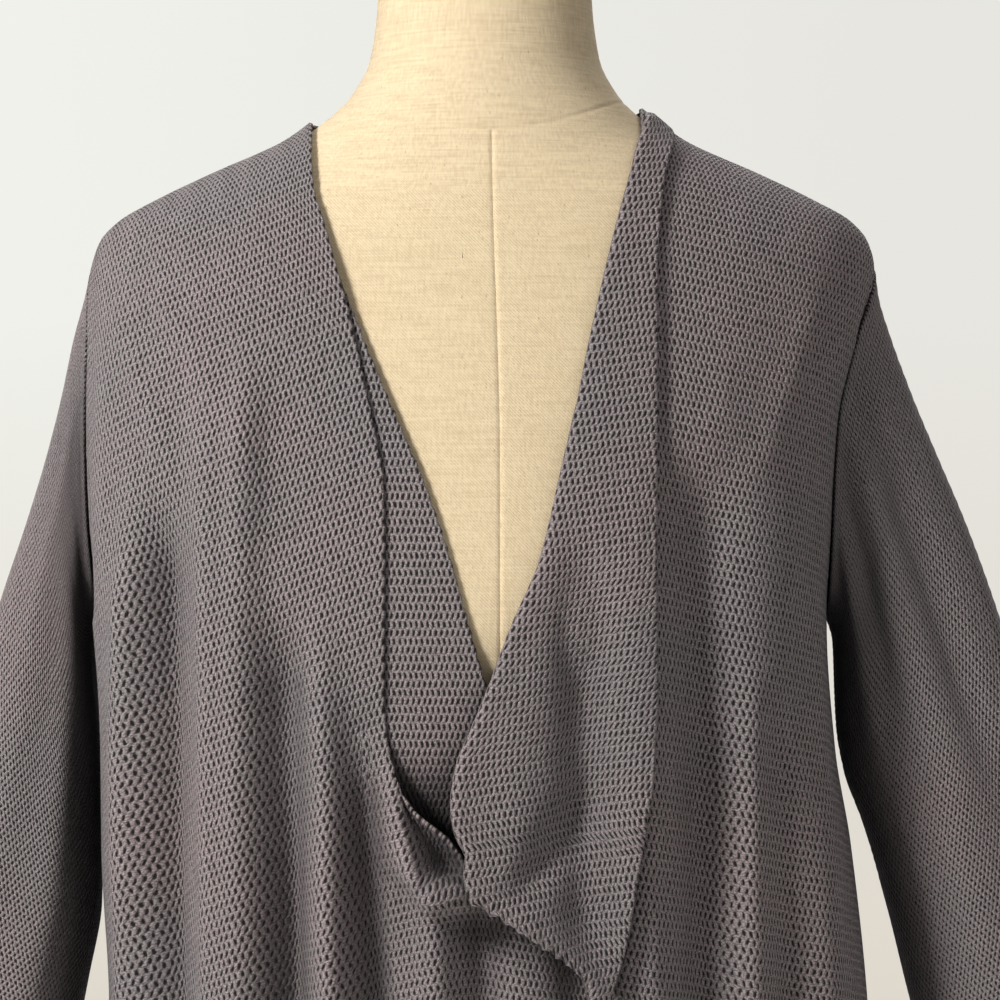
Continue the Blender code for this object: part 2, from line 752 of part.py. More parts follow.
def quads_of(grid, closed, skip):
    """Corner places of each cell of a grid."""
    across = len(grid[0])
    steps = across if closed else across - 1
    cells = []
    for i in range(len(grid) - 1):
        for j in range(steps):
            if skip(i, j):
                continue
            cells.append(((i, j), (i, (j + 1) % across), (i + 1, (j + 1) % across), (i + 1, j)))
    return cells


def face_normals(grid, cells):
    """Sum of the normals of the cells at each place."""
    sums = {}
    for cell in cells:
        a, b, c, d = (grid[i][j] for i, j in cell)
        normal = cross(subtract(c, a), subtract(d, b))
        size = math.sqrt(sum(v * v for v in normal))
        if size < 1e-9:
            continue
        for place in cell:
            old = sums.get(place, (0.0, 0.0, 0.0))
            sums[place] = tuple(o + v / size for o, v in zip(old, normal))
    return sums


def share_normals(first, second, pairs):
    """Give both pieces one normal along a seam they share."""
    for a, b in pairs:
        both = tuple(u + v for u, v in zip(first[a], second[b]))
        first[a] = both
        second[b] = both


def no_skip(i, j):
    return False


def drawn_in(grid, edges):
    """The grid with each listed edge place moved half a seam gap toward its inner neighbour."""
    moved = [list(row) for row in grid]
    for (i, j), (p, q) in edges:
        toward = unit(subtract(grid[p][q], grid[i][j]))
        moved[i][j] = tuple(v + t * SEAM_GAP / 2.0 for v, t in zip(moved[i][j], toward))
    return moved


def wall_mesh(grid, cells, normals):
    """Closed wall of even thickness on a grid of middle points."""
    mesh = bmesh.new()
    outer = {}
    inner = {}
    for place in sorted({p for cell in cells for p in cell}):
        point = grid[place[0]][place[1]]
        normal = unit(normals[place])
        up = [(p + n * CLOTH / 2.0) * MM for p, n in zip(point, normal)]
        down = [(p - n * CLOTH / 2.0) * MM for p, n in zip(point, normal)]
        outer[place] = mesh.verts.new((up[0], up[1], up[2] + NECK_POINT_HEIGHT * MM))
        inner[place] = mesh.verts.new((down[0], down[1], down[2] + NECK_POINT_HEIGHT * MM))
    counts = {}
    for cell in cells:
        mesh.faces.new([outer[p] for p in cell])
        mesh.faces.new([inner[p] for p in reversed(cell)])
        for a, b in zip(cell, cell[1:] + cell[:1]):
            counts[(a, b)] = counts.get((a, b), 0) + 1
    for a, b in counts:
        if (b, a) not in counts:
            mesh.faces.new([outer[b], outer[a], inner[a], inner[b]])
    return mesh


def material(name, colour, roughness, metallic=0.0):
    made = bpy.data.materials.new(name)
    made.use_nodes = True
    shader = made.node_tree.nodes["Principled BSDF"]
    shader.inputs["Base Color"].default_value = colour
    shader.inputs["Roughness"].default_value = roughness
    shader.inputs["Metallic"].default_value = metallic
    return made


def add_object(name, mesh, paint, smooth=True):
    bmesh.ops.recalc_face_normals(mesh, faces=mesh.faces[:])
    data = bpy.data.meshes.new(name)
    mesh.to_mesh(data)
    mesh.free()
    data.materials.append(paint)
    for polygon in data.polygons:
        polygon.use_smooth = smooth
    thing = bpy.data.objects.new(name, data)
    bpy.context.scene.collection.objects.link(thing)
    return thing


# ---------------------------------------------------------------- form, pole and base

def form_ring(z, margin=0.0):
    half = FORM["half"](z) - margin
    square = FORM["square"](z)
    ring = []
    for k in range(FORM_SIDES):
        turn = 2.0 * math.pi * k / FORM_SIDES
        face = "front" if math.sin(turn) < 0 else "back"
        depth = FORM[face](z) - margin
        x = math.copysign(half * abs(math.cos(turn)) ** (2.0 / square), math.cos(turn))
        y = math.copysign(depth * abs(math.sin(turn)) ** (2.0 / square), math.sin(turn))
        ring.append((x, y, z + NECK_POINT_HEIGHT))
    return ring


def round_ring(radius, z):
    ring = []
    for k in range(ROUND_SIDES):
        turn = 2.0 * math.pi * k / ROUND_SIDES
        ring.append((radius * math.cos(turn), radius * math.sin(turn), z))
    return ring


def stacked(rings):
    """Closed solid through rings that rise from the first to the last."""
    mesh = bmesh.new()
    rows = [[mesh.verts.new([v * MM for v in point]) for point in ring] for ring in rings]
    count = len(rows[0])
    for low, high in zip(rows, rows[1:]):
        for k in range(count):
            after = (k + 1) % count
            mesh.faces.new((low[k], low[after], high[after], high[k]))
    mesh.faces.new(list(reversed(rows[0])))
    mesh.faces.new(rows[-1])
    return mesh


def cap_rings():
    top = FORM_LEVELS[-1]
    low = top + SEAM_GAP
    high = low + CAP_HEIGHT
    sizes = (
        (CAP_MARGIN + CHAMFER, low),
        (CAP_MARGIN, low + CHAMFER),
        (CAP_MARGIN, high - CAP_EDGE),
        (CAP_MARGIN + ROUND_SHARE * CAP_EDGE, high - ROUND_SHARE * CAP_EDGE),
        (CAP_MARGIN + CAP_EDGE, high),
    )
    rings = []
    for margin, level in sizes:
        shape = form_ring(top, margin)
        rings.append([(x, y, level + NECK_POINT_HEIGHT) for x, y, _ in shape])
    return rings


def pole_rings():
    foot = BASE_HEIGHT + SEAM_GAP
    top = NECK_POINT_HEIGHT + FORM_LEVELS[0] - SEAM_GAP
    sizes = (
        (FOOT_RADIUS, foot),
        (FOOT_RADIUS, foot + FOOT_EASE),
        (FOOT_RADIUS - FOOT_EASE, foot + FOOT_HEIGHT / 2.0),
        (POLE_RADIUS + FOOT_EASE, foot + FOOT_HEIGHT),
        (POLE_RADIUS, foot + FOOT_HEIGHT + FOOT_EASE),
        (POLE_RADIUS, top - FLANGE_HEIGHT - FOOT_EASE),
        (POLE_RADIUS + FOOT_EASE, top - FLANGE_HEIGHT),
        (FLANGE_RADIUS, top - FLANGE_HEIGHT / 2.0),
        (FLANGE_RADIUS, top),
    )
    return [round_ring(radius, z) for radius, z in sizes]


def base_rings():
    sizes = (
        (BASE_RADIUS - CHAMFER, 0.0),
        (BASE_RADIUS, CHAMFER),
        (BASE_RADIUS, BASE_HEIGHT - BASE_EDGE),
        (BASE_RADIUS - ROUND_SHARE * BASE_EDGE, BASE_HEIGHT - ROUND_SHARE * BASE_EDGE),
        (BASE_RADIUS - BASE_EDGE, BASE_HEIGHT),
    )
    return [round_ring(radius, z) for radius, z in sizes]


# ---------------------------------------------------------------- the whole

def opening_skip(i, j):
    """Cells of the front that the neck opening parts."""
    bottom = ROW_LEVELS.index(CUT_BOTTOM)
    return j == MAIN_COLUMNS + LIP_STEPS and i >= bottom


def seam_pairs(front, back):
    """Places along both side seams and shoulders where front and back meet."""
    underarm = ROW_LEVELS.index(UNDERARM)
    front_last = len(front[0]) - 1
    back_last = len(back[0]) - 1
    pairs = []
    for i in range(underarm + 1):
        pairs.append(((i, 0), (i, 0)))
        pairs.append(((i, front_last), (i, back_last)))
    top = len(front) - 1
    pairs.append(((top, 0), (top, 0)))
    pairs.append(((top, front_last), (top, back_last)))
    return pairs


def seam_edges(grid):
    """Edge places along sides and top with their inner neighbours."""
    last = len(grid[0]) - 1
    top = len(grid) - 1
    edges = []
    for i in range(top):
        edges.append(((i, 0), (i, 1)))
        edges.append(((i, last), (i, last - 1)))
    for j in range(last + 1):
        edges.append(((top, j), (top - 1, j)))
    return edges


def skin_normal(point):
    """Direction away from the body's skin, slope included, for places on the shoulder ridge."""
    x, _, z = point
    side = side_name(x)
    slope = (BODY[side](z + 1.0) - BODY[side](z - 1.0)) / 2.0
    return unit((math.copysign(1.0, x), 0.0, -slope))


def ridge_normals(grid, normals):
    """Normals on the shoulder ridge, alike on the front and the back."""
    top = len(grid) - 1
    for j, point in enumerate(grid[top]):
        if abs(point[1]) < 1e-6:
            normals[(top, j)] = skin_normal(point)


def build_body(knit):
    front = front_grid()
    back = back_grid()
    front_cells = quads_of(front, False, opening_skip)
    back_cells = quads_of(back, False, no_skip)
    front_normals = face_normals(front, front_cells)
    back_normals = face_normals(back, [tuple(reversed(cell)) for cell in back_cells])
    share_normals(front_normals, back_normals, seam_pairs(front, back))
    ridge_normals(front, front_normals)
    ridge_normals(back, back_normals)
    front_shape = drawn_in(front, seam_edges(front))
    back_shape = drawn_in(back, seam_edges(back))
    add_object("front", wall_mesh(front_shape, front_cells, front_normals), knit)
    add_object("back", wall_mesh(back_shape, back_cells, back_normals), knit)
    return front, back


def build_layer(name, grid, knit, closed=False):
    cells = quads_of(grid, closed, no_skip)
    add_object(name, wall_mesh(grid, cells, face_normals(grid, cells)), knit)


def main():
    for thing in list(bpy.data.objects):
        bpy.data.objects.remove(thing, do_unlink=True)
    names = ("front", "back", "under_front", "drape", "sleeve_left", "sleeve_right")
    knits = {name: material("knit_" + name, KNIT_COLOUR, 0.85) for name in names}
    front, back = build_body(knits["front"])
    bpy.data.objects["back"].data.materials[0] = knits["back"]
    build_layer("under_front", under_grid(), knits["under_front"])
    build_layer("drape", drape_grid(), knits["drape"])
    left = sleeve_grid(LEFT_SLEEVE_ROWS, LEFT_SLEEVE_FOLDS, "left", front, back)
    right = sleeve_grid(RIGHT_SLEEVE_ROWS, RIGHT_SLEEVE_FOLDS, "right", front, back)
    build_layer("sleeve_left", left, knits["sleeve_left"], closed=True)
    build_layer("sleeve_right", right, knits["sleeve_right"], closed=True)
    torso = stacked([form_ring(z) for z in FORM_LEVELS])
    add_object("torso", torso, material("linen", LINEN_COLOUR, 0.9))
    add_object("neck_cap", stacked(cap_rings()), material("cap_wood", CAP_COLOUR, 0.5))
    add_object("pole", stacked(pole_rings()), material("pole_metal", METAL_COLOUR, 0.35, 0.9))
    add_object("base", stacked(base_rings()), material("base_metal", METAL_COLOUR, 0.45, 0.8))


main()
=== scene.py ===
"""Finish of the draped V-neck knit pullover and its limbless dress form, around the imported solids.

Sizes are in millimetres; heights of cloth and torso are measured from the neck points. +Z is up and the
front faces -Y. Every knit piece is a thin wall on a net of stitches: wales run along the piece, courses
across it, and each second stitch of a net stands out, which makes the moss stitch.
"""
import bisect
from math import acos, asin, ceil, copysign, cos, degrees, dist, exp, floor, hypot, pi, radians, sin, tanh

import bmesh
import bpy
import numpy as np
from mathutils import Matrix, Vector


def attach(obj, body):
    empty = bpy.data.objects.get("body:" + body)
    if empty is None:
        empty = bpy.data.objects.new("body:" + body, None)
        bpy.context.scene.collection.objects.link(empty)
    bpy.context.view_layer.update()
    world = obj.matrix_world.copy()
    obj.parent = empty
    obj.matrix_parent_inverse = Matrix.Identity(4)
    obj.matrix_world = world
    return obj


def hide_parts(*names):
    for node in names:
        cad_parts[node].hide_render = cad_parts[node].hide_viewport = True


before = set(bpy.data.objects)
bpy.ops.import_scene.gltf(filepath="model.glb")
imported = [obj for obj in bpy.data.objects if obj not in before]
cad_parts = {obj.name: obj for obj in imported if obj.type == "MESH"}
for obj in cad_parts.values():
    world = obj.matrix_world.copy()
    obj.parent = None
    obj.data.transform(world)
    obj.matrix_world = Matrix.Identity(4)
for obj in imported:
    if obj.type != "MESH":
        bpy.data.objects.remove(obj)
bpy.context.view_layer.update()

MM = 0.001
TAU = 2.0 * pi
NECK_POINT_HEIGHT = 900.0
CLOTH = 2.0
HEM = -640.0
UPPER_START = -118.0           # level where courses begin to follow the shoulder slope
LEFT_NECK_POINT = -3.7
RIGHT_NECK_POINT = 3.7
SHOULDER_TIP = -78.0
UNDERARM = -262.0
ARMHOLE_FRONT = 37.0
ARMHOLE_BACK = 45.0
ARMHOLE_SQUARE = 2.4           # squareness of the armhole's curve
SEAM_PULL_START = 0.72         # share of a half arc at which it begins to turn to the side seam
SEAM_PULL_SPAN = 0.28
BACK_NECK_RISE = 3.0
BACK_NECK_SHARE = 5.0 / 11.0   # share of a back half that ends on the neckline

WALE = 1.35                    # width of a stitch
COURSE = 4.15                  # height of a stitch
RELIEF = 0.12                  # how far a stitch stands out or lies back
EDGE_BULGE = 0.6               # roundness of a cut edge
SEAM_INSET = 0.75              # a sewn edge is drawn back by this much
SCALLOP = 0.30                 # waviness of the knitted free edges
SLIVER = 0.4                   # a stitch narrower than this share joins the edge

BODY_COLUMNS = ("z", "left", "right", "front", "back", "square", "end_left", "end_right")
BODY_ROWS = (
    (30, 62, 62, 56, 70, 2.00, 62, 62),
    (10, 74, 74, 62, 74, 2.00, 74, 74),
    (4, 81, 81, 64, 75, 2.00, 81, 81),
    (0, 86, 86, 66, 76, 2.00, 86, 86),
    (-14, 105, 105, 69, 80, 2.00, 105, 105),
    (-32, 145, 145, 74, 86, 2.00, 145, 145),
    (-45, 172, 172, 78, 91, 2.05, 172, 172),
    (-56, 191, 191, 81, 95, 2.10, 191, 191),
    (-66, 200, 199, 84, 98, 2.20, 200, 199),
    (-78, 204, 202, 87, 101, 2.30, 204, 202),
    (-118, 212, 193, 95, 107, 2.60, 203, 190),
    (-158, 217, 183.5, 103, 110, 2.70, 203, 180),
    (-200, 215, 179.5, 112, 110, 2.70, 202, 177),
    (-262, 207, 178.5, 122, 107, 2.60, 199, 175.5),
    (-328, 200, 182, 124, 105, 2.50, 198, 180.5),
    (-378, 199, 190, 124, 104, 2.40, 198, 189),
    (-462, 195, 199, 125, 109, 2.35, 194, 198),
    (-560, 198, 204, 128, 121, 2.30, 197, 203),
    (-640, 201, 208, 131, 127, 2.30, 201, 208),
)

# edges of the draped neck opening, x at each level
OPENING_COLUMNS = ("z", "rim", "ridge", "right", "under")
OPENING_ROWS = (
    (4, -88, -100, 81.5, -92),
    (-5, -90, -101.5, 82.5, -91.5),
    (-44, -86, -97, 75.5, -84.5),
    (-57, -81.5, -92.5, 72, -82),
    (-75, -76, -87.5, 67, -78),
    (-96, -70, -81, 62, -69.5),
    (-124, -63, -74, 56, -58.5),
    (-145, -58.5, -70, 52, -49.5),
    (-167, -53.5, -64, 48, -40),
    (-190, -49.5, -60, 42, -30),
    (-229, -48.5, -58, 32, -16.5),
    (-268, -48.5, -57, 17, -5.5),
    (-297, -48.5, -55, 6, 3),
    (-317, -46.5, -52, 4.5, 9),
    (-336, -41.5, -45.5, 3.5, 15),
    (-345, -37, -41, 3.5, 17.5),
    (-353, -30, -39, 3.5, 19.5),
    (-361, -19, -37, 3.5, 22),
    (-369, -12, -35, 3.5, 24),
    (-376, -8.5, -32.5, 3.5, 26),
    (-383, -5, -30, 3.5, 28),
    (-390, -0.5, -25, 4, 29.5),
    (-398, 0.5, -21, 6, 31.5),
    (-406, 0.5, -24, 9, 33.5),
    (-439, 0.5, -27, 11.5, 37.5),
    (-640, 0.5, -29, 13.5, 37.5),
)
CUT_BOTTOM = -390.0            # the neck opening ends at this level
LIP_COLUMNS = ("z", "ridge_lift", "dish_drop", "edge_lift")
LIP_ROWS = (
    (-311, 0, 0, 0),
    (-336, 5, 0, 4),
    (-345, 9, 4, 7),
    (-353, 13, 8, 9),
    (-361, 16, 13, 10),
    (-369, 19, 18, 11),
    (-376, 21, 20, 13),
    (-381, 22, 15, 15),
    (-385, 22, 3, 17),
    (-389, 22, -6, 18),
    (-392, 20, -7, 17),
    (-395, 13, -4, 13),
    (-399, 4, 0, 6),
    (-404, 0, 0, 1),
    (-410, 0, 0, 0),
)
LIP_SPREAD = 11.0              # how far the lip's lift reaches into the panel
LIP_SPREAD_LOW = 6.5           # and at the dish's rounded foot
LIP_FOOT = -374.0              # level where the foot begins
LIP_FOOT_FADE = 14.0

# soft folds: x and z of the upper and lower end, half width, height outward
FRONT_FOLDS = (
    (-136, -105, -130, -640, 9, 7.5),
    (-147.5, -172, -144, -640, 8, -6),
    (-78.5, -329, -69.5, -640, 11, 7),
    (-95, -320, -91.5, -640, 9, -4),
    (-38, -406, -25, -640, 9, 6),
    (22.5, -448, 28, -640, 12, 6),
    (88.5, -402, 96.5, -640, 10, 5),
    (140.5, -265, 148, -640, 9, 7.5),
    (153, -365, 162.5, -640, 8, -6),
)
BACK_FOLDS = (
    (-150, -230, -156, -640, 11, 6.3),
    (-90, -180, -98, -640, 14, 4.9),
    (-20, -330, -26, -640, 12, 5.6),
    (48, -250, 56, -640, 13, -4.2),
    (88, -220, 96, -640, 12, 6.3),
    (146, -260, 158, -640, 10, 5.6),
)
FOLD_FADE = 90.0
FOLD_REACH = 3.5               # a fold is felt within this many half widths

# the turned-over drape from the right neck point to below the dish
DRAPE_COLUMNS = ("at", "left_x", "left_z", "right_x", "right_z", "left_lift", "mid_lift", "right_lift")
DRAPE_ROWS = (
    (0, 81, 0, 93.5, -13.5, 4.6, 4.6, 4.6),
    (1, 76, -23.5, 88.5, -39.5, 5, 5, 4.8),
    (2, 63, -75, 85, -86, 4.2, 4.2, 4),
    (3, 52.5, -120.5, 84.5, -129.5, 3.4, 3.4, 3.4),
    (4, 44.5, -160.5, 84, -167, 3.4, 3.4, 3.4),
    (5, 36, -195.5, 83.5, -200, 3.6, 3.4, 3.4),
    (6, 27.5, -229, 83, -233.5, 4, 3.6, 3.6),
    (7, 12.5, -263, 83, -265, 6, 4, 4),
    (8, 1.5, -292, 83, -290.5, 9, 5, 5),
    (9, -7, -312.5, 82, -312.5, 12, 6, 6),
    (10, -13.5, -328.5, 80.5, -333, 14, 7, 7),
    (11, -16, -347, 78, -350.5, 16, 8, 8),
    (12, -14, -359.5, 76, -364, 17, 9, 8),
    (13, -9, -370.5, 73, -381, 18, 10, 8),
    (14, -10, -381, 70.5, -398, 19, 11, 8),
    (15, -7.5, -391.5, 68, -412, 21, 12, 8),
    (16, 5.5, -398, 65, -424, 21, 13, 8),
    (17, 22.5, -410, 61.5, -434, 19, 13, 9),
    (18, 39, -422, 59.5, -444, 17, 12, 9),
    (19, 47.5, -431, 57, -451.5, 15, 12, 9),
    (20, 50.5, -441, 55, -456.5, 13, 11, 8),
    (21, 51.5, -451, 53, -459.5, 11, 9, 8),
)

UNDER_TOP = -87.0
UNDER_BOTTOM = -376.0
UNDER_DEPTH = -2.7
UNDER_SINK = -13.0             # the inner layer falls back behind the dish
UNDER_SINK_START = -315.0
UNDER_SINK_FADE = 50.0
UNDER_TUCK = 13.0              # how far it lies behind the rim
UNDER_RIM_END = -319.0         # it follows the rim down to here

# sleeves: outer and inner line in the frontal plane, reach before and behind, shift to the back
SLEEVE_COLUMNS = ("at", "outer_x", "outer_z", "inner_x", "inner_z", "front", "back", "shift")
LEFT_SLEEVE_ROWS = (
    (0, 206.5, -78, 201, -264, 37, 45, 0),
    (1, 209, -92, 204, -269, 36, 44, 1),
    (2, 213.5, -112, 206.5, -277, 36, 43, 2),
    (3, 219, -140, 207, -289, 36, 43, 3),
    (4, 228, -175, 206, -304, 37, 43, 5),
    (5, 240, -213, 204.5, -322, 38, 43, 8),
    (6, 253.5, -252, 203.5, -345, 39, 43, 11),
    (7, 267.5, -300, 203, -376, 40, 43, 13),
    (8, 282.5, -350, 203.5, -412, 41, 42, 13),
    (9, 299, -405, 210, -452, 41, 41, 9),
    (10, 315.5, -462, 219, -497, 40, 40, 4),
    (11, 330, -516, 233, -545, 38, 38, 2),
    (12, 341, -566, 248, -592, 35, 35, 0),
    (13, 350, -612, 262, -636, 32, 32, -2),
)
RIGHT_SLEEVE_ROWS = (
    (0, 204.5, -78, 177.5, -264, 37, 45, 0),
    (1, 206, -92, 181, -269, 36, 44, 1),
    (2, 212, -115, 184, -278, 36, 43, 2),
    (3, 222, -143, 184.5, -290, 36, 43, 4),
    (4, 236, -176, 185, -304, 37, 43, 6),
    (5, 251, -211, 186, -321, 38, 43, 7),
    (6, 266, -252, 190, -343, 39, 43, 7),
    (7, 281, -300, 200.5, -372, 40, 43, 6),
    (8, 297, -352, 213, -416, 41, 42, 6),
    (9, 314, -408, 226, -468, 41, 41, 5),
    (10, 331, -464, 241, -514, 40, 40, 4),
    (11, 345, -518, 254, -555, 38, 38, 2),
    (12, 356, -566, 266, -596, 35, 35, 0),
    (13, 365, -612, 277, -636, 32, 32, -2),
)
SLEEVE_RINGS = 176
SLEEVE_SAMPLES = 160
SLEEVE_FOLD_FADE = 2.0         # stations over which a fold grows
SLEEVE_LOW_GAP = 0.1           # more room between sleeve and body under the arm
TOP_OUT = 0.5                  # at the shoulder tip the sleeve starts this far out
TOP_DOWN = 1.6                 # and this far down
SEAM_GAP = 0.3
SLEEVE_BLEND = 3.0             # stations over which the armhole's shape gives way to the sleeve's
# ridges along a sleeve: turn from the outer line (front positive), upper and lower station,
# half width in degrees, height
LEFT_SLEEVE_FOLDS = (
    (38, 2.0, 12.0, 15, 2.5),
    (95, 3.5, 13.0, 17, -3.0),
    (-60, 3.0, 13.0, 20, 2.5),
    (66, 1.0, 7.0, 9, 1.2),
    (120, 5.0, 12.5, 10, 1.6),
    (-30, 4.0, 11.0, 9, -1.4),
    (-105, 2.0, 10.0, 12, -1.8),
    (-135, 5.0, 13.0, 11, 1.5),
)
RIGHT_SLEEVE_FOLDS = (
    (34, 1.5, 11.0, 13, 3.0),
    (64, 1.5, 9.0, 12, -3.0),
    (98, 2.5, 12.0, 15, 3.0),
    (-70, 3.0, 13.0, 20, 2.5),
    (54, 0.2, 8.0, 8, 1.8),
    (72, 0.3, 8.0, 7, -2.2),
    (90, 0.2, 8.0, 8, 2.2),
    (110, 0.2, 7.0, 8, -3.0),
    (131, 0.2, 7.0, 9, 2.2),
    (-25, 2.0, 9.0, 10, -1.6),
    (-110, 3.0, 12.0, 13, -2.0),
    (-140, 5.5, 13.0, 10, 1.4),
)

FORM_COLUMNS = ("z", "half", "front", "back", "square")
FORM_ROWS = (
    (85, 55.5, 47, 62, 2.00),
    (62, 56, 48.5, 62.5, 2.00),
    (30, 60, 53, 64.5, 2.00),
    (12, 69, 58, 66.5, 2.00),
    (3, 77.0, 61, 68.5, 2.00),
    (-3, 84.0, 62.5, 69.5, 2.00),
    (-17, 104.5, 65.5, 74.5, 2.00),
    (-35, 144.5, 70.5, 81, 2.00),
    (-48, 171, 75, 87, 2.05),
    (-59, 187, 78, 91, 2.10),
    (-69, 192.5, 81, 94, 2.20),
    (-82, 193.5, 83, 97, 2.30),
    (-118, 184, 90, 103, 2.40),
    (-158, 175, 98, 105, 2.35),
    (-200, 168, 107, 104, 2.25),
    (-262, 160, 117, 98, 2.15),
    (-330, 145, 102, 90, 2.10),
    (-400, 131, 88, 84, 2.10),
    (-480, 150, 95, 97, 2.15),
    (-560, 171, 101, 106, 2.20),
    (-620, 176, 102, 109, 2.20),
    (-655, 174, 99, 106, 2.20),
)
FORM_TOP = 85.0
FORM_BOTTOM = -655.0
FORM_STEP = 5.0
FINE_STEP = 0.8                # between the levels round the neck seam
FINE_BAND = (-18.0, 10.0)
FORM_SIDES = 168

ARC_SAMPLES = 72
PATH_SAMPLES = 60
RIDGE_SAMPLES = 60
RING_SAMPLES = 96


# ---- numbers

class Curve:
    """Monotone cubic through stations in rising order."""

    def __init__(self, stations, values):
        self.stations = stations
        self.values = values
        steps = [b - a for a, b in zip(stations, stations[1:])]
        rises = [(b - a) / h for a, b, h in zip(values, values[1:], steps)]
        inner = [self.slope(a, b) for a, b in zip(rises, rises[1:])]
        self.slopes = [rises[0]] + inner + [rises[-1]]

    @staticmethod
    def slope(before, after):
        if before * after <= 0.0:
            return 0.0
        return 2.0 * before * after / (before + after)

    def __call__(self, at):
        if at <= self.stations[0]:
            return self.values[0]
        if at >= self.stations[-1]:
            return self.values[-1]
        k = bisect.bisect_left(self.stations, at) - 1
        h = self.stations[k + 1] - self.stations[k]
        t = (at - self.stations[k]) / h
        a = self.values[k]
        b = self.values[k + 1]
        start = self.slopes[k] * h
        end = self.slopes[k + 1] * h
        cubic = (2 * a - 2 * b + start + end) * t ** 3
        square = (3 * b - 3 * a - 2 * start - end) * t ** 2
        return cubic + square + start * t + a


def curves(columns, rows):
    """One curve for each named column, over the first column."""
    ordered = sorted(rows)
    stations = [row[0] for row in ordered]
    return {name: Curve(stations, [row[i] for row in ordered]) for i, name in enumerate(columns) if i}


BODY = curves(BODY_COLUMNS, BODY_ROWS)
OPENING = curves(OPENING_COLUMNS, OPENING_ROWS)
LIP = curves(LIP_COLUMNS, LIP_ROWS)
DRAPE = curves(DRAPE_COLUMNS, DRAPE_ROWS)
FORM = curves(FORM_COLUMNS, FORM_ROWS)


def mix(a, b, t):
    return a + (b - a) * t


def ease(t):
    t = min(max(t, 0.0), 1.0)
    return t * t * (3.0 - 2.0 * t)


def lengths_of(points):
    lengths = [0.0]
    for a, b in zip(points, points[1:]):
        lengths.append(lengths[-1] + dist(a, b))
    return lengths


def along(points, lengths, at):
    """Point at a length on a polyline."""
    at = min(max(at, 0.0), lengths[-1])
    k = min(max(bisect.bisect_left(lengths, at) - 1, 0), len(lengths) - 2)
    t = (at - lengths[k]) / max(lengths[k + 1] - lengths[k], 1e-9)
    return tuple(mix(a, b, t) for a, b in zip(points[k], points[k + 1]))


# ---- the body's skin

def side_name(x):
    return "left" if x < 0 else "right"


def face_sign(face):
    return -1.0 if face == "front" else 1.0


def skin_y(x, z, face):
    """Depth of the plain body surface at a place seen from the front."""
    half = BODY[side_name(x)](z)
    square = BODY["square"](z)
    ratio = min(abs(x) / half, 1.0)
    return face_sign(face) * BODY[face](z) * (1.0 - ratio ** square) ** (1.0 / square)


def outward(x, y, z):
    """Level direction away from the body at a place on its skin."""
    face = "front" if y < 0 else "back"
    half = BODY[side_name(x)](z)
    depth = BODY[face](z)
    power = BODY["square"](z) - 1.0
    nx = copysign((min(abs(x) / half, 1.0)) ** power / half, x)
    ny = copysign((min(abs(y) / depth, 1.0)) ** power / depth, y)
    size = hypot(nx, ny)
    return nx / size, ny / size


def armhole_reach(z, face):
    """How far the armhole cuts in from the side line at a level."""
    middle = (SHOULDER_TIP + UNDERARM) / 2.0
    tall = (SHOULDER_TIP - UNDERARM) / 2.0
    ratio = (z - middle) / tall
    if abs(ratio) >= 1.0:
        return 0.0
    depth = ARMHOLE_FRONT if face == "front" else ARMHOLE_BACK
    return depth * (1.0 - abs(ratio) ** ARMHOLE_SQUARE) ** 0.5


def half_arc(side, face, z):
    """Points from the middle to the side seam, armhole or shoulder ridge, with lengths."""
    sign = -1.0 if side == "left" else 1.0
    half = BODY[side](z)
    depth = BODY[face](z)
    square = BODY["square"](z)
    reach = armhole_reach(z, face)
    last = acos((reach / depth) ** (square / 2.0))
    end_x = half * sin(last) ** (2.0 / square)
    pull = BODY["end_" + side](z) - end_x
    points = []
    for k in range(ARC_SAMPLES + 1):
        t = k / ARC_SAMPLES
        turn = last * t
        x = half * sin(turn) ** (2.0 / square) + pull * ease((t - SEAM_PULL_START) / SEAM_PULL_SPAN)
        y = depth * max(cos(turn), 0.0) ** (2.0 / square)
        points.append((sign * x, face_sign(face) * y))
    return points, lengths_of(points)


def length_at(points, lengths, x):
    """Length at which a half arc reaches a distance from the middle."""
    for k in range(len(points) - 1):
        if abs(points[k + 1][0]) >= abs(x):
            near = abs(points[k][0])
            far = abs(points[k + 1][0])
            return mix(lengths[k], lengths[k + 1], (abs(x) - near) / max(far - near, 1e-9))
    return lengths[-1]


def fold_lift(folds, x, z, fade=FOLD_FADE):
    """Outward lift of the soft folds at a place."""
    total = 0.0
    for x_top, z_top, x_low, z_low, half, height in folds:
        t = (z_top - z) / (z_top - z_low)
        if t <= 0.0:
            continue
        offset = (x - mix(x_top, x_low, t)) / half
        if abs(offset) > FOLD_REACH:
            continue
        total += height * ease((z_top - z) / fade) * exp(-offset * offset)
    return total


# deeper parts of the hanging folds, grown from their upper end to the hem like the soft folds
DEPTH_FADE = 60.0
FRONT_DEPTHS = (
    (-178, -200, -177, -640, 7, 8.0),
    (-161, -185, -159, -640, 10, -16.0),
    (-118, -112, -118, -640, 10, 9.0),
    (-98, -240, -93, -640, 12, -12.0),
    (-82, -250, -58, -640, 9, 8.0),
    (-60, -290, -45, -640, 10, -10.0),
    (-28, -340, -12, -640, 9, 9.0),
    (-2, -340, 4, -640, 9, -9.0),
    (47, -205, 50, -640, 15, -13.0),
    (22, -430, 28, -640, 9, 4.0),
    (60, -440, 64, -640, 10, -6.0),
    (108, -160, 112, -640, 17, -13.0),
    (112, -285, 116, -640, 17, -5.0),
    (131, -260, 133, -640, 7, 4.0),
    (143, -280, 149, -640, 10, -11.0),
    (168, -330, 178, -640, 8, 4.0),
)
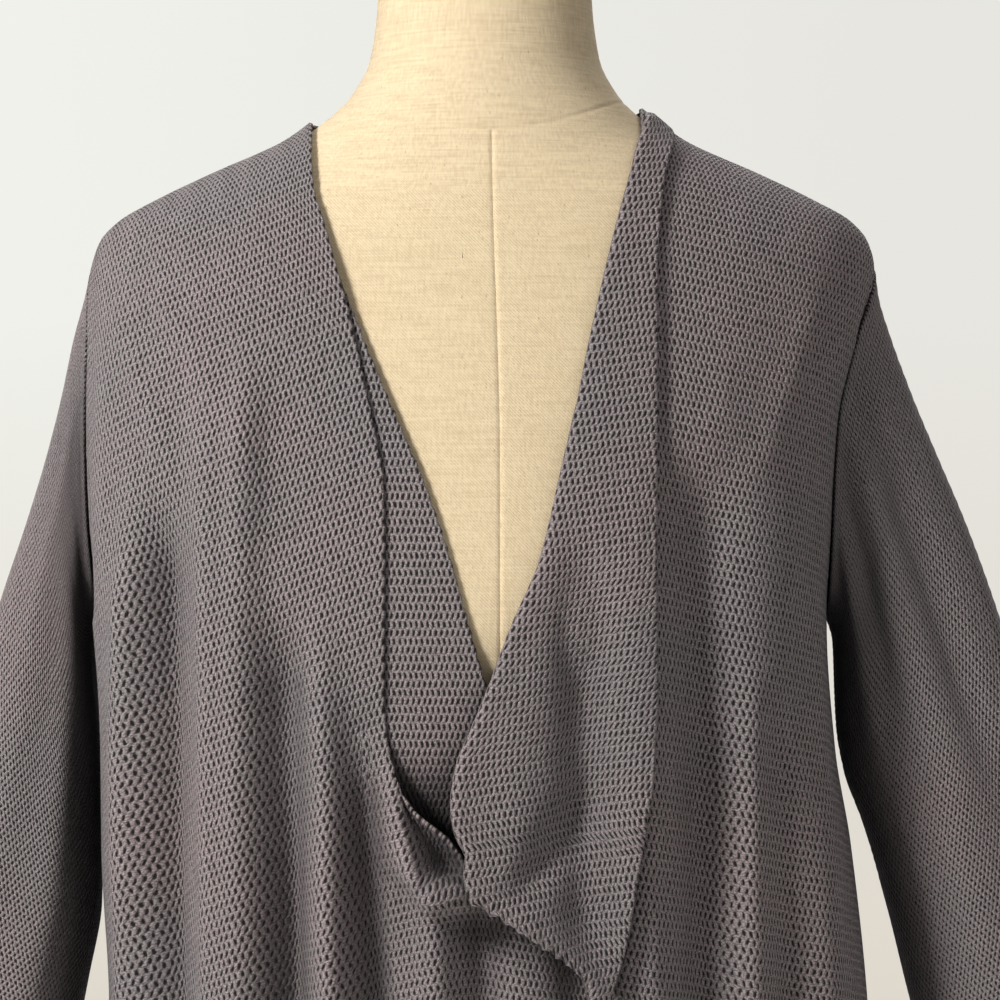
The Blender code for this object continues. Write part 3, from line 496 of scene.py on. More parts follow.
BACK_DEPTHS = (
    (-170, -240, -172, -640, 9, -6.0),
    (-124, -200, -126, -640, 11, -8.0),
    (-58, -260, -64, -640, 13, -7.0),
    (14, -240, 10, -640, 14, -8.5),
    (-20, -300, -26, -640, 10, 3.0),
    (70, -300, 74, -640, 9, -5.0),
    (118, -180, 124, -640, 12, -9.0),
    (170, -280, 178, -640, 8, -5.0),
)

# fine creases, gone at both ends: x and z of both ends, half width, height outward
FRONT_CREASES = (
    (-188, -96, -150, -205, 7, 1.6),
    (-196, -150, -176, -262, 6, -1.3),
    (-170, -84, -116, -180, 8, 1.1),
    (-186, -270, -176, -420, 7, 1.8),
    (-168, -300, -160, -520, 6, -1.4),
    (-116, -200, -112, -330, 9, -1.5),
    (-60, -335, -52, -470, 7, -1.6),
    (-112, -380, -108, -600, 7, 1.7),
    (-52, -420, -46, -640, 7, -2.0),
    (4, -470, 8, -640, 8, -1.8),
    (58, -500, 62, -640, 9, 1.8),
    (116, -330, 122, -560, 8, -1.7),
    (120, -120, 100, -260, 9, 1.2),
    (168, -98, 132, -200, 8, 1.5),
    (176, -150, 160, -270, 7, -1.4),
    (168, -240, 172, -380, 7, 1.6),
    (182, -400, 188, -560, 8, 1.5),
)
BACK_CREASES = (
    (-186, -100, -140, -200, 9, 1.8),
    (-178, -150, -160, -300, 8, -1.8),
    (-120, -260, -124, -460, 9, -2.2),
    (-56, -200, -60, -380, 10, 1.8),
    (-62, -420, -66, -630, 9, -2.0),
    (-6, -150, -4, -300, 12, -1.4),
    (12, -340, 18, -620, 9, 2.4),
    (74, -330, 78, -520, 8, -2.2),
    (120, -180, 126, -420, 9, -2.0),
    (128, -440, 134, -640, 8, 1.8),
    (182, -104, 146, -210, 9, 1.6),
    (170, -300, 178, -520, 8, -1.8),
)
FOLDS = {"front": FRONT_FOLDS, "back": BACK_FOLDS}
DEPTHS = {"front": FRONT_DEPTHS, "back": BACK_DEPTHS}
CREASES = {"front": FRONT_CREASES, "back": BACK_CREASES}

CREASE_MARGIN = 12.0           # creases are gone at the side seams and armholes
CREASE_REACH = 3.0
RIDGE_FADE = 30.0              # and on the shoulder ridge


def crease_lift(creases, x, z):
    total = 0.0
    for x_top, z_top, x_low, z_low, half, height in creases:
        t = (z_top - z) / (z_top - z_low)
        if not 0.0 < t < 1.0:
            continue
        offset = (x - mix(x_top, x_low, t)) / half
        if abs(offset) > CREASE_REACH:
            continue
        total += height * sin(pi * t) ** 0.8 * exp(-offset * offset)
    edge = BODY["end_" + side_name(x)](z) - abs(x)
    return total * ease(edge / CREASE_MARGIN)


def lip_lift(x, z):
    """Lift of the front round the draped dish and its rolled ridge."""
    high = LIP["ridge_lift"](z)
    edge = LIP["edge_lift"](z)
    if high == 0.0 and edge == 0.0:
        return 0.0
    ridge = OPENING["ridge"](z)
    rim = OPENING["rim"](z)
    spread = mix(LIP_SPREAD, LIP_SPREAD_LOW, ease((LIP_FOOT - z) / LIP_FOOT_FADE))
    if x < ridge:
        return high * exp(-((x - ridge) / spread) ** 2)
    if x > rim:
        return edge * exp(-((x - rim) / spread) ** 2)
    t = (x - ridge) / max(rim - ridge, 1e-6)
    return mix(high, edge, t) - LIP["dish_drop"](z) * sin(pi * t)


# the long ridge of the right panel beside the drape: cloth stacked under the drape steps down here
STEP_X = 85.5
STEP_TOP = -40.0
STEP_HEIGHT = 2.2
STEP_WIDTH = 3.0
STEP_FADE = 80.0               # height over which the step grows
STEP_INNER = 20.0              # the step grows from this place to the right
STEP_INNER_FADE = 40.0


def step_lift(x, z):
    grown = ease((STEP_TOP - z) / STEP_FADE)
    side = 0.5 - 0.5 * tanh((x - STEP_X) / STEP_WIDTH)
    inner = ease((x - STEP_INNER) / STEP_INNER_FADE)
    return STEP_HEIGHT * grown * side * inner


FORM_ROOM = 2.3                # between the middle of the cloth and the form
LAYER = 2.8                    # between the middles of two cloths
SOFT = 3.0


def over(lift, lowest):
    """The greater of two lifts, with a soft change from one to the other."""
    gap = lift - lowest
    if abs(gap) >= SOFT:
        return max(lift, lowest)
    return lowest + (gap + SOFT) ** 2 / (4.0 * SOFT)


def clear_of_form(lift, x, z, face):
    """A lift that keeps the cloth over the form."""
    half = FORM["half"](z)
    if abs(x) >= half:
        return lift
    square = FORM["square"](z)
    form_depth = FORM[face](z) * (1.0 - (abs(x) / half) ** square) ** (1.0 / square)
    y = skin_y(x, z, face)
    _, ny = outward(x, y, z)
    return over(lift, FORM_ROOM - (abs(y) - form_depth) * abs(ny))


def panel_lift(x, z, face):
    """All the lift of the front or back over the plain skin."""
    lift = fold_lift(FOLDS[face], x, z) + fold_lift(DEPTHS[face], x, z, DEPTH_FADE)
    lift += crease_lift(CREASES[face], x, z)
    if face == "front":
        lift += lip_lift(x, z) + step_lift(x, z)
    return clear_of_form(lift, x, z, face)


def lifted(x, y, z, lift):
    nx, ny = outward(x, y, z)
    return x + nx * lift, y + ny * lift, z


def front_point(x, z, lift):
    """Point over the front's skin, by x and level."""
    return lifted(x, skin_y(x, z, "front"), z, lift)


# ---- nets of stitches

class Run:
    """One course of a net: stitches of whole wale numbers between a start and an end on the edges."""

    def __init__(self, start, end, inner):
        self.start = start
        self.end = end
        self.inner = inner
        self.first = min(inner) if inner else None
        self.last = max(inner) if inner else None

    def corner(self, k):
        if k < self.first:
            return self.start
        if k > self.last:
            return self.end
        return self.inner[k]


class Net:
    """Places of a knit piece with their stitch numbers, and the cells between them."""

    def __init__(self):
        self.points = []
        self.stitches = []
        self.raised = []
        self.kinds = []
        self.cells = []
        self.numbers = []
        self.tags = []

    def put(self, point, wale, course, kind="knit"):
        whole = kind == "knit"
        self.points.append(point)
        self.stitches.append((wale, course))
        self.raised.append((1.0 if round(wale + course) % 2 else -1.0) if whole else 0.0)
        self.kinds.append(kind)
        return len(self.points) - 1

    def cell(self, corners, wales=None, tag=None):
        """A cell of three or four different places; wales gives their wale numbers where a seam closes."""
        keys = []
        numbers = []
        for n, key in enumerate(corners):
            if key in keys:
                continue
            keys.append(key)
            own = self.stitches[key]
            numbers.append((wales[n], own[1]) if wales else own)
        if len(keys) >= 3:
            whole = len(keys) == 4 and not wales and all(self.kinds[key] == "knit" for key in keys)
            self.cells.append(keys)
            self.numbers.append(numbers)
            self.tags.append(tag if whole else None)

    def join(self, low, high, closed=None):
        """Cells between two courses. closed gives the wale numbers of a closed seam's two sides."""
        first = min(low.first, high.first)
        last = max(low.last, high.last)
        row = len(self.cells)
        for k in range(first - 1, last + 1):
            corners = (low.corner(k), low.corner(k + 1), high.corner(k + 1), high.corner(k))
            wales = None
            if closed and (k < max(low.first, high.first) or k >= min(low.last, high.last)):
                ends = (closed[0][0], closed[0][1], closed[1][0], closed[1][1])
                wales = []
                for n, run in enumerate((low, low, high, high)):
                    at = k + (1 if n in (1, 2) else 0)
                    if at < run.first:
                        wales.append(ends[0 if run is low else 2])
                    elif at > run.last:
                        wales.append(ends[1 if run is low else 3])
                    else:
                        wales.append(float(at))
            self.cell(corners, wales, (row, k))


def whole_wales(first, last):
    """Whole wale numbers that stand clear of both ends."""
    low = ceil(first / WALE + SLIVER)
    high = floor(last / WALE - SLIVER)
    return range(low, high + 1)


def run_between(net, first, last, course, place, kinds, start=None, end=None):
    """A course from one length to another; place gives the point at a length."""
    if start is None:
        start = net.put(place(first), first / WALE, course, kinds[0])
    if end is None:
        end = net.put(place(last), last / WALE, course, kinds[1])
    inner = {k: net.put(place(k * WALE), k, course) for k in whole_wales(first, last)}
    return Run(start, end, inner)


def scallop(course):
    return SCALLOP * (1.0 if int(course) % 2 else -1.0)


# ---- front and back

def level_courses():
    count = round((UPPER_START - HEM) / COURSE)
    return [(i, mix(HEM, UPPER_START, i / count)) for i in range(count + 1)]


def panel_runs(net, face, course, z):
    """A panel's runs at one level: one on each side of the neck opening, or one for all the back."""
    left, left_lengths = half_arc("left", face, z)
    right, right_lengths = half_arc("right", face, z)
    first, last = -left_lengths[-1], right_lengths[-1]

    def place(u):
        points, lengths = (left, left_lengths) if u < 0 else (right, right_lengths)
        x, y = along(points, lengths, abs(u))
        return lifted(x, y, z, panel_lift(x, z, face))

    if face == "back":
        return (run_between(net, first, last, course, place, ("seam", "seam")),)
    rim_x = OPENING["rim"](z)
    inner_x = OPENING["right"](z)
    if z > CUT_BOTTOM:
        rim_x += scallop(course)
        rim = copysign(length_at(left if rim_x < 0 else right, left_lengths, rim_x), rim_x)
        inner = length_at(right, right_lengths, inner_x)
        return (run_between(net, first, rim, course, place, ("seam", "edge")),
                run_between(net, inner, last, course, place, ("edge", "seam")))
    middle = (rim_x + inner_x) / 2.0
    shared = net.put(place(middle), middle / WALE, course, "join")
    return (run_between(net, first, middle, course, place, ("seam", None), end=shared),
            run_between(net, middle, last, course, place, (None, "seam"), start=shared))


def ridge_place(side, part):
    """Place on the shoulder ridge, from the neck point at part 0 to the shoulder tip at part 1."""
    sign = -1.0 if side == "left" else 1.0
    neck_level = LEFT_NECK_POINT if side == "left" else RIGHT_NECK_POINT
    levels = [mix(neck_level, SHOULDER_TIP, k / RIDGE_SAMPLES) for k in range(RIDGE_SAMPLES + 1)]
    points = [(sign * BODY[side](z), z) for z in levels]
    lengths = lengths_of(points)
    return along(points, lengths, part * lengths[-1])


def climbing(start, target_x, target_z, face, bend):
    """Path from a place on the upper start level to a target on the top edge."""
    points = [start]
    offset = start[1] - skin_y(start[0], UPPER_START, face)
    for k in range(1, PATH_SAMPLES):
        t = sin(pi / 2.0 * k / PATH_SAMPLES)
        z = mix(UPPER_START, target_z, t)
        x = mix(start[0], target_x, t) + bend(z, t)
        x = copysign(min(abs(x), BODY[side_name(x)](z)), x)
        points.append((x, skin_y(x, z, face) + offset * (1.0 - t) ** 2, z))
    points.append((target_x, skin_y(target_x, target_z, face), target_z))
    return points


def armhole_path(side, face):
    points = []
    for k in range(PATH_SAMPLES + 1):
        z = mix(UPPER_START, SHOULDER_TIP, sin(pi / 2.0 * k / PATH_SAMPLES))
        arc, _ = half_arc(side, face, z)
        points.append((arc[-1][0], arc[-1][1], z))
    return points


def no_bend(z, t):
    return 0.0


def upper_creased(point, face):
    """A place above the upper start level with the fine creases on it."""
    x, y, z = point
    away = crease_lift(CREASES[face], x, z)
    if face == "front":
        away += step_lift(x, z)
    return lifted(x, y, z, away * min(abs(y) / RIDGE_FADE, 1.0))


def climb(net, run, paths, face, first_course):
    """Courses above a run: each key of the run follows its own path and ends on the top edge."""
    columns = {}
    for k, (key, path, kind) in paths.items():
        lengths = lengths_of(path)
        keys = [key]
        wale = net.stitches[key][0]
        step = 1
        while step * COURSE < lengths[-1] - SLIVER * COURSE:
            point = upper_creased(along(path, lengths, step * COURSE), face)
            if kind == "edge":
                point = (point[0] + scallop(first_course + step), point[1], point[2])
            keys.append(net.put(point, wale, first_course + step, kind))
            step += 1
        end = net.put(path[-1], wale, first_course + lengths[-1] / COURSE, "ridge")
        columns[k] = (keys, end)
    order = sorted(columns)
    tallest = max(len(keys) for keys, _ in columns.values())

    def corner(k, step):
        keys, end = columns[k]
        return keys[step] if step < len(keys) else end

    base = len(net.cells)
    for a, b in zip(order, order[1:]):
        for step in range(tallest):
            corners = (corner(a, step), corner(b, step), corner(b, step + 1), corner(a, step + 1))
            net.cell(corners, tag=(base + step, a))
    return columns


def front_paths(net, run, is_left):
    """A path for each stitch of a front run from the upper start level to the shoulder ridge."""
    side = "left" if is_left else "right"
    neck = ridge_place(side, 0.0)[0]
    edge = "rim" if is_left else "right"
    edge_start = OPENING[edge](UPPER_START)
    outer_key = run.start if is_left else run.end
    neck_key = run.end if is_left else run.start
    outer_wale = net.stitches[outer_key][0]
    edge_wale = net.stitches[neck_key][0]
    paths = {}
    keys = {**run.inner, run.last + 1: run.end, run.first - 1: run.start}
    for k, key in keys.items():
        if key == outer_key:
            paths[k] = (key, armhole_path(side, "front"), "seam")
            continue
        start = net.points[key]
        share = 0.0 if key == neck_key else (net.stitches[key][0] - edge_wale) / (outer_wale - edge_wale)
        target_x, target_z = ridge_place(side, share)

        def bend(z, t, share=share):
            own = OPENING[edge](z) - mix(edge_start, neck, t)
            return own * (1.0 - share) ** 3 * (1.0 - t ** 6)

        path = climbing(start, target_x, target_z, "front", bend)
        paths[k] = (key, path, "edge" if key == neck_key else "knit")
    return paths


def back_paths(net, run):
    """A path for each stitch of the back's top run, to the neckline or the shoulder ridge."""
    keys = {**run.inner, run.first - 1: run.start, run.last + 1: run.end}
    paths = {}
    for k, key in keys.items():
        wale = net.stitches[key][0]
        side = side_name(wale)
        if key in (run.start, run.end):
            paths[k] = (key, armhole_path(side, "back"), "seam")
            continue
        share = wale / net.stitches[run.start if wale < 0 else run.end][0]
        target_x, target_z = back_target(share, side)
        paths[k] = (key, climbing(net.points[key], target_x, target_z, "back", no_bend), "knit")
    return paths


def panel_net(face):
    """The net of the front or back, and its armhole edges from the underarm to the shoulder tip."""
    net = Net()
    loops = {"left": [], "right": []}
    before = None
    for course, z in level_courses():
        runs = panel_runs(net, face, course, z)
        if before:
            for low, high in zip(before, runs):
                net.join(low, high)
        if z >= UNDERARM - 0.01:
            loops["left"].append(net.points[runs[0].start])
            loops["right"].append(net.points[runs[-1].end])
        before = runs
    for run in before:
        paths = front_paths(net, run, run is before[0]) if face == "front" else back_paths(net, run)
        climb(net, run, paths, face, course)
    for side in loops:
        loops[side] += armhole_path(side, face)[1:]
    return net, loops


def back_target(share, side):
    """Where a wale of the back ends: on the neckline or on the shoulder ridge."""
    sign = -1.0 if side == "left" else 1.0
    neck_level = LEFT_NECK_POINT if side == "left" else RIGHT_NECK_POINT
    if share <= BACK_NECK_SHARE:
        part = share / BACK_NECK_SHARE
        z = mix(BACK_NECK_RISE, neck_level, part)
        return sign * BODY[side](z) * sin(pi / 2.0 * part), z
    part = (share - BACK_NECK_SHARE) / (1.0 - BACK_NECK_SHARE)
    return ridge_place(side, part)


# ---- the inner layer and the drape

def under_net():
    """The inner wrap layer, from behind the rim to its own edge and on behind the drape."""
    net = Net()
    count = round((UNDER_TOP - UNDER_BOTTOM) / COURSE)
    before = None
    for i in range(count + 1):
        z = mix(UNDER_BOTTOM, UNDER_TOP, i / count)
        left = OPENING["rim"](max(z, UNDER_RIM_END)) - UNDER_TUCK
        right = OPENING["under"](z) + scallop(i)
        depth = mix(UNDER_DEPTH, UNDER_SINK, ease((UNDER_SINK_START - z) / UNDER_SINK_FADE))

        def place(u):
            return front_point(u, z, depth)

        run = run_between(net, left, right, i, place, ("edge", "edge"))
        if before:
            net.join(before, run)
        before = run
    return net


ROLL_TOP = -150.0              # above this level the drape's edge is hardly turned
ROLL_FOOT = -446.0             # and below this one
ROLL_RADIUS = 2.6
ROLL_TAIL = 5.0
ROLL_FADE = 140.0
ROLL_FOOT_FADE = 22.0
ROLL_LEAST = 0.6
ROLL_STEPS = 6
DRAPE_STEPS = 28               # samples across the drape
DRAPE_MARGIN = 1.5             # its courses begin and end this far inside its tips
DRAPE_WALE_END = -391.0        # the drape's wales follow its free edge down to here, then fall straight


def drape_edges():
    """Curves over the level for the drape's two edges and its lift at both edges and between."""
    rows = [dict(zip(DRAPE_COLUMNS, row)) for row in DRAPE_ROWS]
    last = rows[-1]
    left = [(r["left_z"], r["left_x"], r["left_lift"]) for r in rows]
    left.append((last["right_z"], last["right_x"], last["right_lift"]))
    right = [(r["right_z"], r["right_x"], r["right_lift"]) for r in rows]
    right.insert(0, (rows[0]["left_z"], rows[0]["left_x"], rows[0]["left_lift"]))
    middle = [((r["left_z"] + r["right_z"]) / 2.0, r["mid_lift"]) for r in rows]
    found = {}
    for name, places, column in (("left_x", left, 1), ("left_lift", left, 2), ("right_x", right, 1),
                                 ("right_lift", right, 2), ("mid_lift", middle, 1)):
        ordered = sorted(places)
        found[name] = Curve([p[0] for p in ordered], [p[column] for p in ordered])
    return found


DRAPE_AT = drape_edges()


def drape_lift(x, z):
    """Lift of the drape over the front's skin."""
    value = {name: DRAPE_AT[name](z) for name in DRAPE_AT}
    t = (x - value["left_x"]) / max(value["right_x"] - value["left_x"], 1e-6)
    t = min(max(t, 0.0), 1.0)
    ends = mix(value["left_lift"], value["right_lift"], t)
    middle = value["mid_lift"] - (value["left_lift"] + value["right_lift"]) / 2.0
    folds = fold_lift(DRAPE_FOLDS, x, z) * ease((z - DRAPE_FOLD_END) / DRAPE_FOLD_FADE)
    folds += crease_lift(DRAPE_CREASES, x, z)
    lift = ends + (middle + folds) * sin(pi * t)
    return over(lift, panel_lift(x, z, "front") + LAYER)


# soft folds of the drape
DRAPE_FOLDS = (
    (48, -190, 50, -460, 14, -12.5),
    (64, -200, 66, -460, 14, -8.0),
    (73, -150, 75, -460, 6, 3.5),
    (14, -270, 14, -460, 11, 3.0),
)
DRAPE_FOLD_END = -440.0
DRAPE_FOLD_FADE = 50.0
DRAPE_CREASES = (
    (62, -325, 6, -404, 12, -9.0),  # the hanging fold bends toward the dish
)


def drape_row(z):
    """One level of the drape: where its wales begin, and its points from under the turned edge on."""
    grown = ease((ROLL_TOP - z) / ROLL_FADE) * ease((z - ROLL_FOOT) / ROLL_FOOT_FADE)
    inset = (ROLL_RADIUS + CLOTH / 2.0) * grown
    line_x = DRAPE_AT["left_x"](z)
    edge_x = line_x + inset
    origin = DRAPE_AT["left_x"](max(z, DRAPE_WALE_END)) + inset
    right_x = min(DRAPE_AT["right_x"](z), BODY["right"](z))
    ahead = DRAPE_AT["left_x"](z - 1.0)
    size = hypot(ahead - line_x, 1.0)
    nx, nz = 1.0 / size, (ahead - line_x) / size
    lift = drape_lift(edge_x, z)
    radius = mix(ROLL_LEAST, ROLL_RADIUS, grown)
    tail = ROLL_TAIL * grown
    places = []
    if tail > 0.0:
        places.append((edge_x + nx * tail, z + nz * tail, lift - 2.0 * radius))
    for k in range(ROLL_STEPS + 1):
        angle = pi * (1.0 - k / ROLL_STEPS)
        back = -sin(angle) * radius
        places.append((edge_x + nx * back, z + nz * back, lift - (1.0 - cos(angle)) * radius))
    rolled = [front_point(*place) for place in places]
    flat = []
    for j in range(1, DRAPE_STEPS + 1):
        x = mix(edge_x, right_x, j / DRAPE_STEPS)
        flat.append(front_point(x, z, drape_lift(x, z)))
    return rolled, flat, edge_x - origin


def drape_net():
    """The turned-over drape: its wales follow the free edge and fall straight below it."""
    net = Net()
    top = DRAPE_ROWS[0][2] - DRAPE_MARGIN
    bottom = DRAPE_ROWS[-1][4] + DRAPE_MARGIN
    count = round((top - bottom) / COURSE)
    before = None
    for i in range(count + 1):
        rolled, flat, start = drape_row(mix(bottom, top, i / count))
        points = rolled + flat
        lengths = lengths_of(points)
        roll = lengths[len(rolled) - 1]

        def place(u):
            return along(points, lengths, u - start + roll)

        run = run_between(net, start - roll, start + lengths[-1] - roll, i, place, ("edge", "edge"))
        if before:
            net.join(before, run)
        before = run
    return net


# ---- sleeves

def sleeve_ripple(folds, turn, at):
    total = 0.0
    for centre, first, last, half, height in folds:
        grown = ease((at - first) / SLEEVE_FOLD_FADE) * ease((last - at) / SLEEVE_FOLD_FADE)
        if grown <= 0.0:
            continue
        gap = (degrees(turn) - centre + 180.0) % 360.0 - 180.0
        total += height * grown * exp(-(gap / half) ** 2)
    return total


class Sleeve:
    """Surface of one sleeve: a turn round it and a station along it give a point."""

    def __init__(self, rows, folds, side, front_loop, back_loop):
        self.table = curves(SLEEVE_COLUMNS, rows)
        self.folds = folds
        self.sign = -1.0 if side == "left" else 1.0
        self.front = list(reversed(front_loop))
        self.back = list(back_loop)
        self.front_lengths = lengths_of(self.front)
        self.back_lengths = lengths_of(self.back)

    def armhole(self, turn):
        share = (turn / pi) % 2.0
        if share <= 1.0:
            return along(self.front, self.front_lengths, share * self.front_lengths[-1])
        return along(self.back, self.back_lengths, (share - 1.0) * self.back_lengths[-1])

    def plain(self, turn, value, folds, at):
        middle_x = (value["outer_x"] + value["inner_x"]) / 2.0
        middle_z = (value["outer_z"] + value["inner_z"]) / 2.0
        arm_x = (value["outer_x"] - value["inner_x"]) / 2.0
        arm_z = (value["outer_z"] - value["inner_z"]) / 2.0
        reach = value["front"] if sin(turn) > 0 else value["back"]
        ripple = sleeve_ripple(folds, turn, at)
        grow = 1.0 + ripple / hypot(arm_x, arm_z)
        x = middle_x + arm_x * cos(turn) * grow
        z = middle_z + arm_z * cos(turn) * grow
        return self.sign * x, value["shift"] - (reach + ripple) * sin(turn), z

    def values(self, at):
        return {name: self.table[name](at) for name in SLEEVE_COLUMNS[1:]}

    def ring(self, at):
        """Points round the sleeve from the underarm over the back to the outer line and down the front."""
        here = self.values(at)
        top = self.values(0.0)
        settle = ease(at / SLEEVE_BLEND)
        points = []
        for k in range(RING_SAMPLES + 1):
            turn = -pi + TAU * k / RING_SAMPLES
            point = self.plain(turn, here, self.folds, at)
            if settle < 1.0:
                start = self.plain(turn, top, (), 0.0)
                above = max(cos(turn), 0.0)
                below = max(-cos(turn), 0.0)
                out = mix(CLOTH / 2.0 + SEAM_GAP + SLEEVE_LOW_GAP + CLOTH / 2.0 * below, TOP_OUT, above)
                x, y, z = self.armhole(turn)
                own = (x + self.sign * out, y, z - TOP_DOWN * above)
                point = tuple(p + (o - s) * (1.0 - settle) for p, o, s in zip(point, own, start))
            points.append(point)
        return points


def sleeve_net(sleeve, last):
    """Courses round the sleeve from the cuff to the armhole, closed along the underarm seam."""
    net = Net()
    total = 0.0
    stations = []
    old = None
    for i in range(SLEEVE_SAMPLES + 1):
        at = last * (1.0 - i / SLEEVE_SAMPLES)
        here = sleeve.plain(pi / 2.0, sleeve.values(at), (), at)
        total += dist(here, old) if old else 0.0
        stations.append((total, at))
        old = here
    by_length = Curve([s[0] for s in stations], [s[1] for s in stations])
    before = None
    before_ends = None
    for i in range(SLEEVE_RINGS + 1):
        ring = sleeve.ring(by_length(total * i / SLEEVE_RINGS))
        lengths = lengths_of(ring)
        outer = lengths[RING_SAMPLES // 2]

        def place(u):
            return along(ring, lengths, u + outer)

        kind = "edge" if i in (0, SLEEVE_RINGS) else "join"
        ends = (-outer / WALE, (lengths[-1] - outer) / WALE)
        seam = net.put(ring[0], ends[0], i, kind)
        run = run_between(net, -outer, lengths[-1] - outer, i, place, (None, None), start=seam, end=seam)
        if before:
            net.join(before, run, closed=(before_ends, ends))
        before = run
        before_ends = ends
    return net


# ---- walls

def unit_rows(a):
    return a / np.maximum(np.linalg.norm(a, axis=1, keepdims=True), 1e-9)


def net_normals(points, cells, inward):
    """Normals of the places, turned by the sign that inward gives."""
    total = np.zeros_like(points)
    for keys in cells:
        corner = points[list(keys)]
        if len(keys) == 4:
            normal = np.cross(corner[2] - corner[0], corner[3] - corner[1])
        else:
            normal = np.cross(corner[1] - corner[0], corner[2] - corner[0])
        size = np.linalg.norm(normal)
        if size > 1e-9:
            total[list(keys)] += normal / size
    return unit_rows(total) * inward


def split(keys, raised, outer):
    """Triangles of a cell, parted along the diagonal that stands out."""
    if len(keys) == 3:
        return [(0, 1, 2)]
    sign = 1.0 if outer else -1.0
    first = sign * (raised[keys[0]] + raised[keys[2]])
    second = sign * (raised[keys[1]] + raised[keys[3]])
    if first >= second:
        return [(0, 1, 2), (0, 2, 3)]
    return [(0, 1, 3), (1, 2, 3)]


def inner_polygons(net, border_keys):
    """Faces of the inner side: two neighbouring cells make one wherever nothing else needs their middle."""
    places = {tag: n for n, tag in enumerate(net.tags) if tag is not None}
    pairs = {}
    for (row, k), n in places.items():
        if k % 2 == 0 and (row, k + 1) in places:
            pairs[n] = places[(row, k + 1)]
    seconds = set(pairs.values())
    needed = set(border_keys)
    for n, keys in enumerate(net.cells):
        if n not in pairs and n not in seconds:
            needed.update(keys)
    for n, other in pairs.items():
        needed.update((net.cells[n][0], net.cells[n][3], net.cells[other][1], net.cells[other][2]))
    faces = []
    for n, keys in enumerate(net.cells):
        if n in seconds:
            continue
        numbers = net.numbers[n]
        if n not in pairs:
            for tri in split(keys, net.raised, False):
                faces.append(([keys[m] for m in tri], [numbers[m] for m in tri]))
            continue
        other = net.cells[pairs[n]]
        other_numbers = net.numbers[pairs[n]]
        ring = [(keys[0], numbers[0]), (keys[1], numbers[1]), (other[1], other_numbers[1]),
                (other[2], other_numbers[2]), (other[3], other_numbers[3]), (keys[3], numbers[3])]
        kept = [pair for pair in ring if pair[0] in needed]
        faces.append(([key for key, _ in kept], [number for _, number in kept]))
    return faces


def boundary_pairs(cells):
    """Directed border edges of the net."""
    seen = {}
    for keys in cells:
        for a, b in zip(keys, keys[1:] + keys[:1]):
            seen[(a, b)] = True
    return [(a, b) for a, b in seen if (b, a) not in seen]


def border_outward(points, normals, cells, border):
    """Direction in the cloth, away from it, at each border place."""
    centres = {}
    on_border = {a for a, _ in border} | {b for _, b in border}
    for keys in cells:
        middle = points[list(keys)].mean(axis=0)
        for key in keys:
            if key in on_border:
                centres.setdefault(key, []).append(middle)
    away = {}
    for key in on_border:
        direction = points[key] - np.mean(centres[key], axis=0)
        direction -= normals[key] * np.dot(direction, normals[key])
        away[key] = direction / max(np.linalg.norm(direction), 1e-9)
    return away


ROW_RISE = 0.46                # rise of the courses toward the opening on the left panel
ROW_RISE_RIGHT = 0.24          # and on the right panel
ROW_RISE_START = -12.0
ROW_RISE_SOFT = 25.0
DRAPE_ROW_RISE = 0.16


def front_rows(pair):
    """Stitch numbers of the front: the left panel's courses rise toward the opening."""
    wale, course = pair
    aside = abs(wale * WALE - ROW_RISE_START)
    soft = aside * aside / (aside + ROW_RISE_SOFT)
    rise = ROW_RISE if wale * WALE < ROW_RISE_START else ROW_RISE_RIGHT
    return wale, course + rise * soft / COURSE


def drape_rows(pair):
    wale, course = pair
    return wale, course - DRAPE_ROW_RISE * wale * WALE / COURSE


def shown(name, data):
    """A new object in the scene."""
    thing = bpy.data.objects.new(name, data)
    bpy.context.scene.collection.objects.link(thing)
    return thing


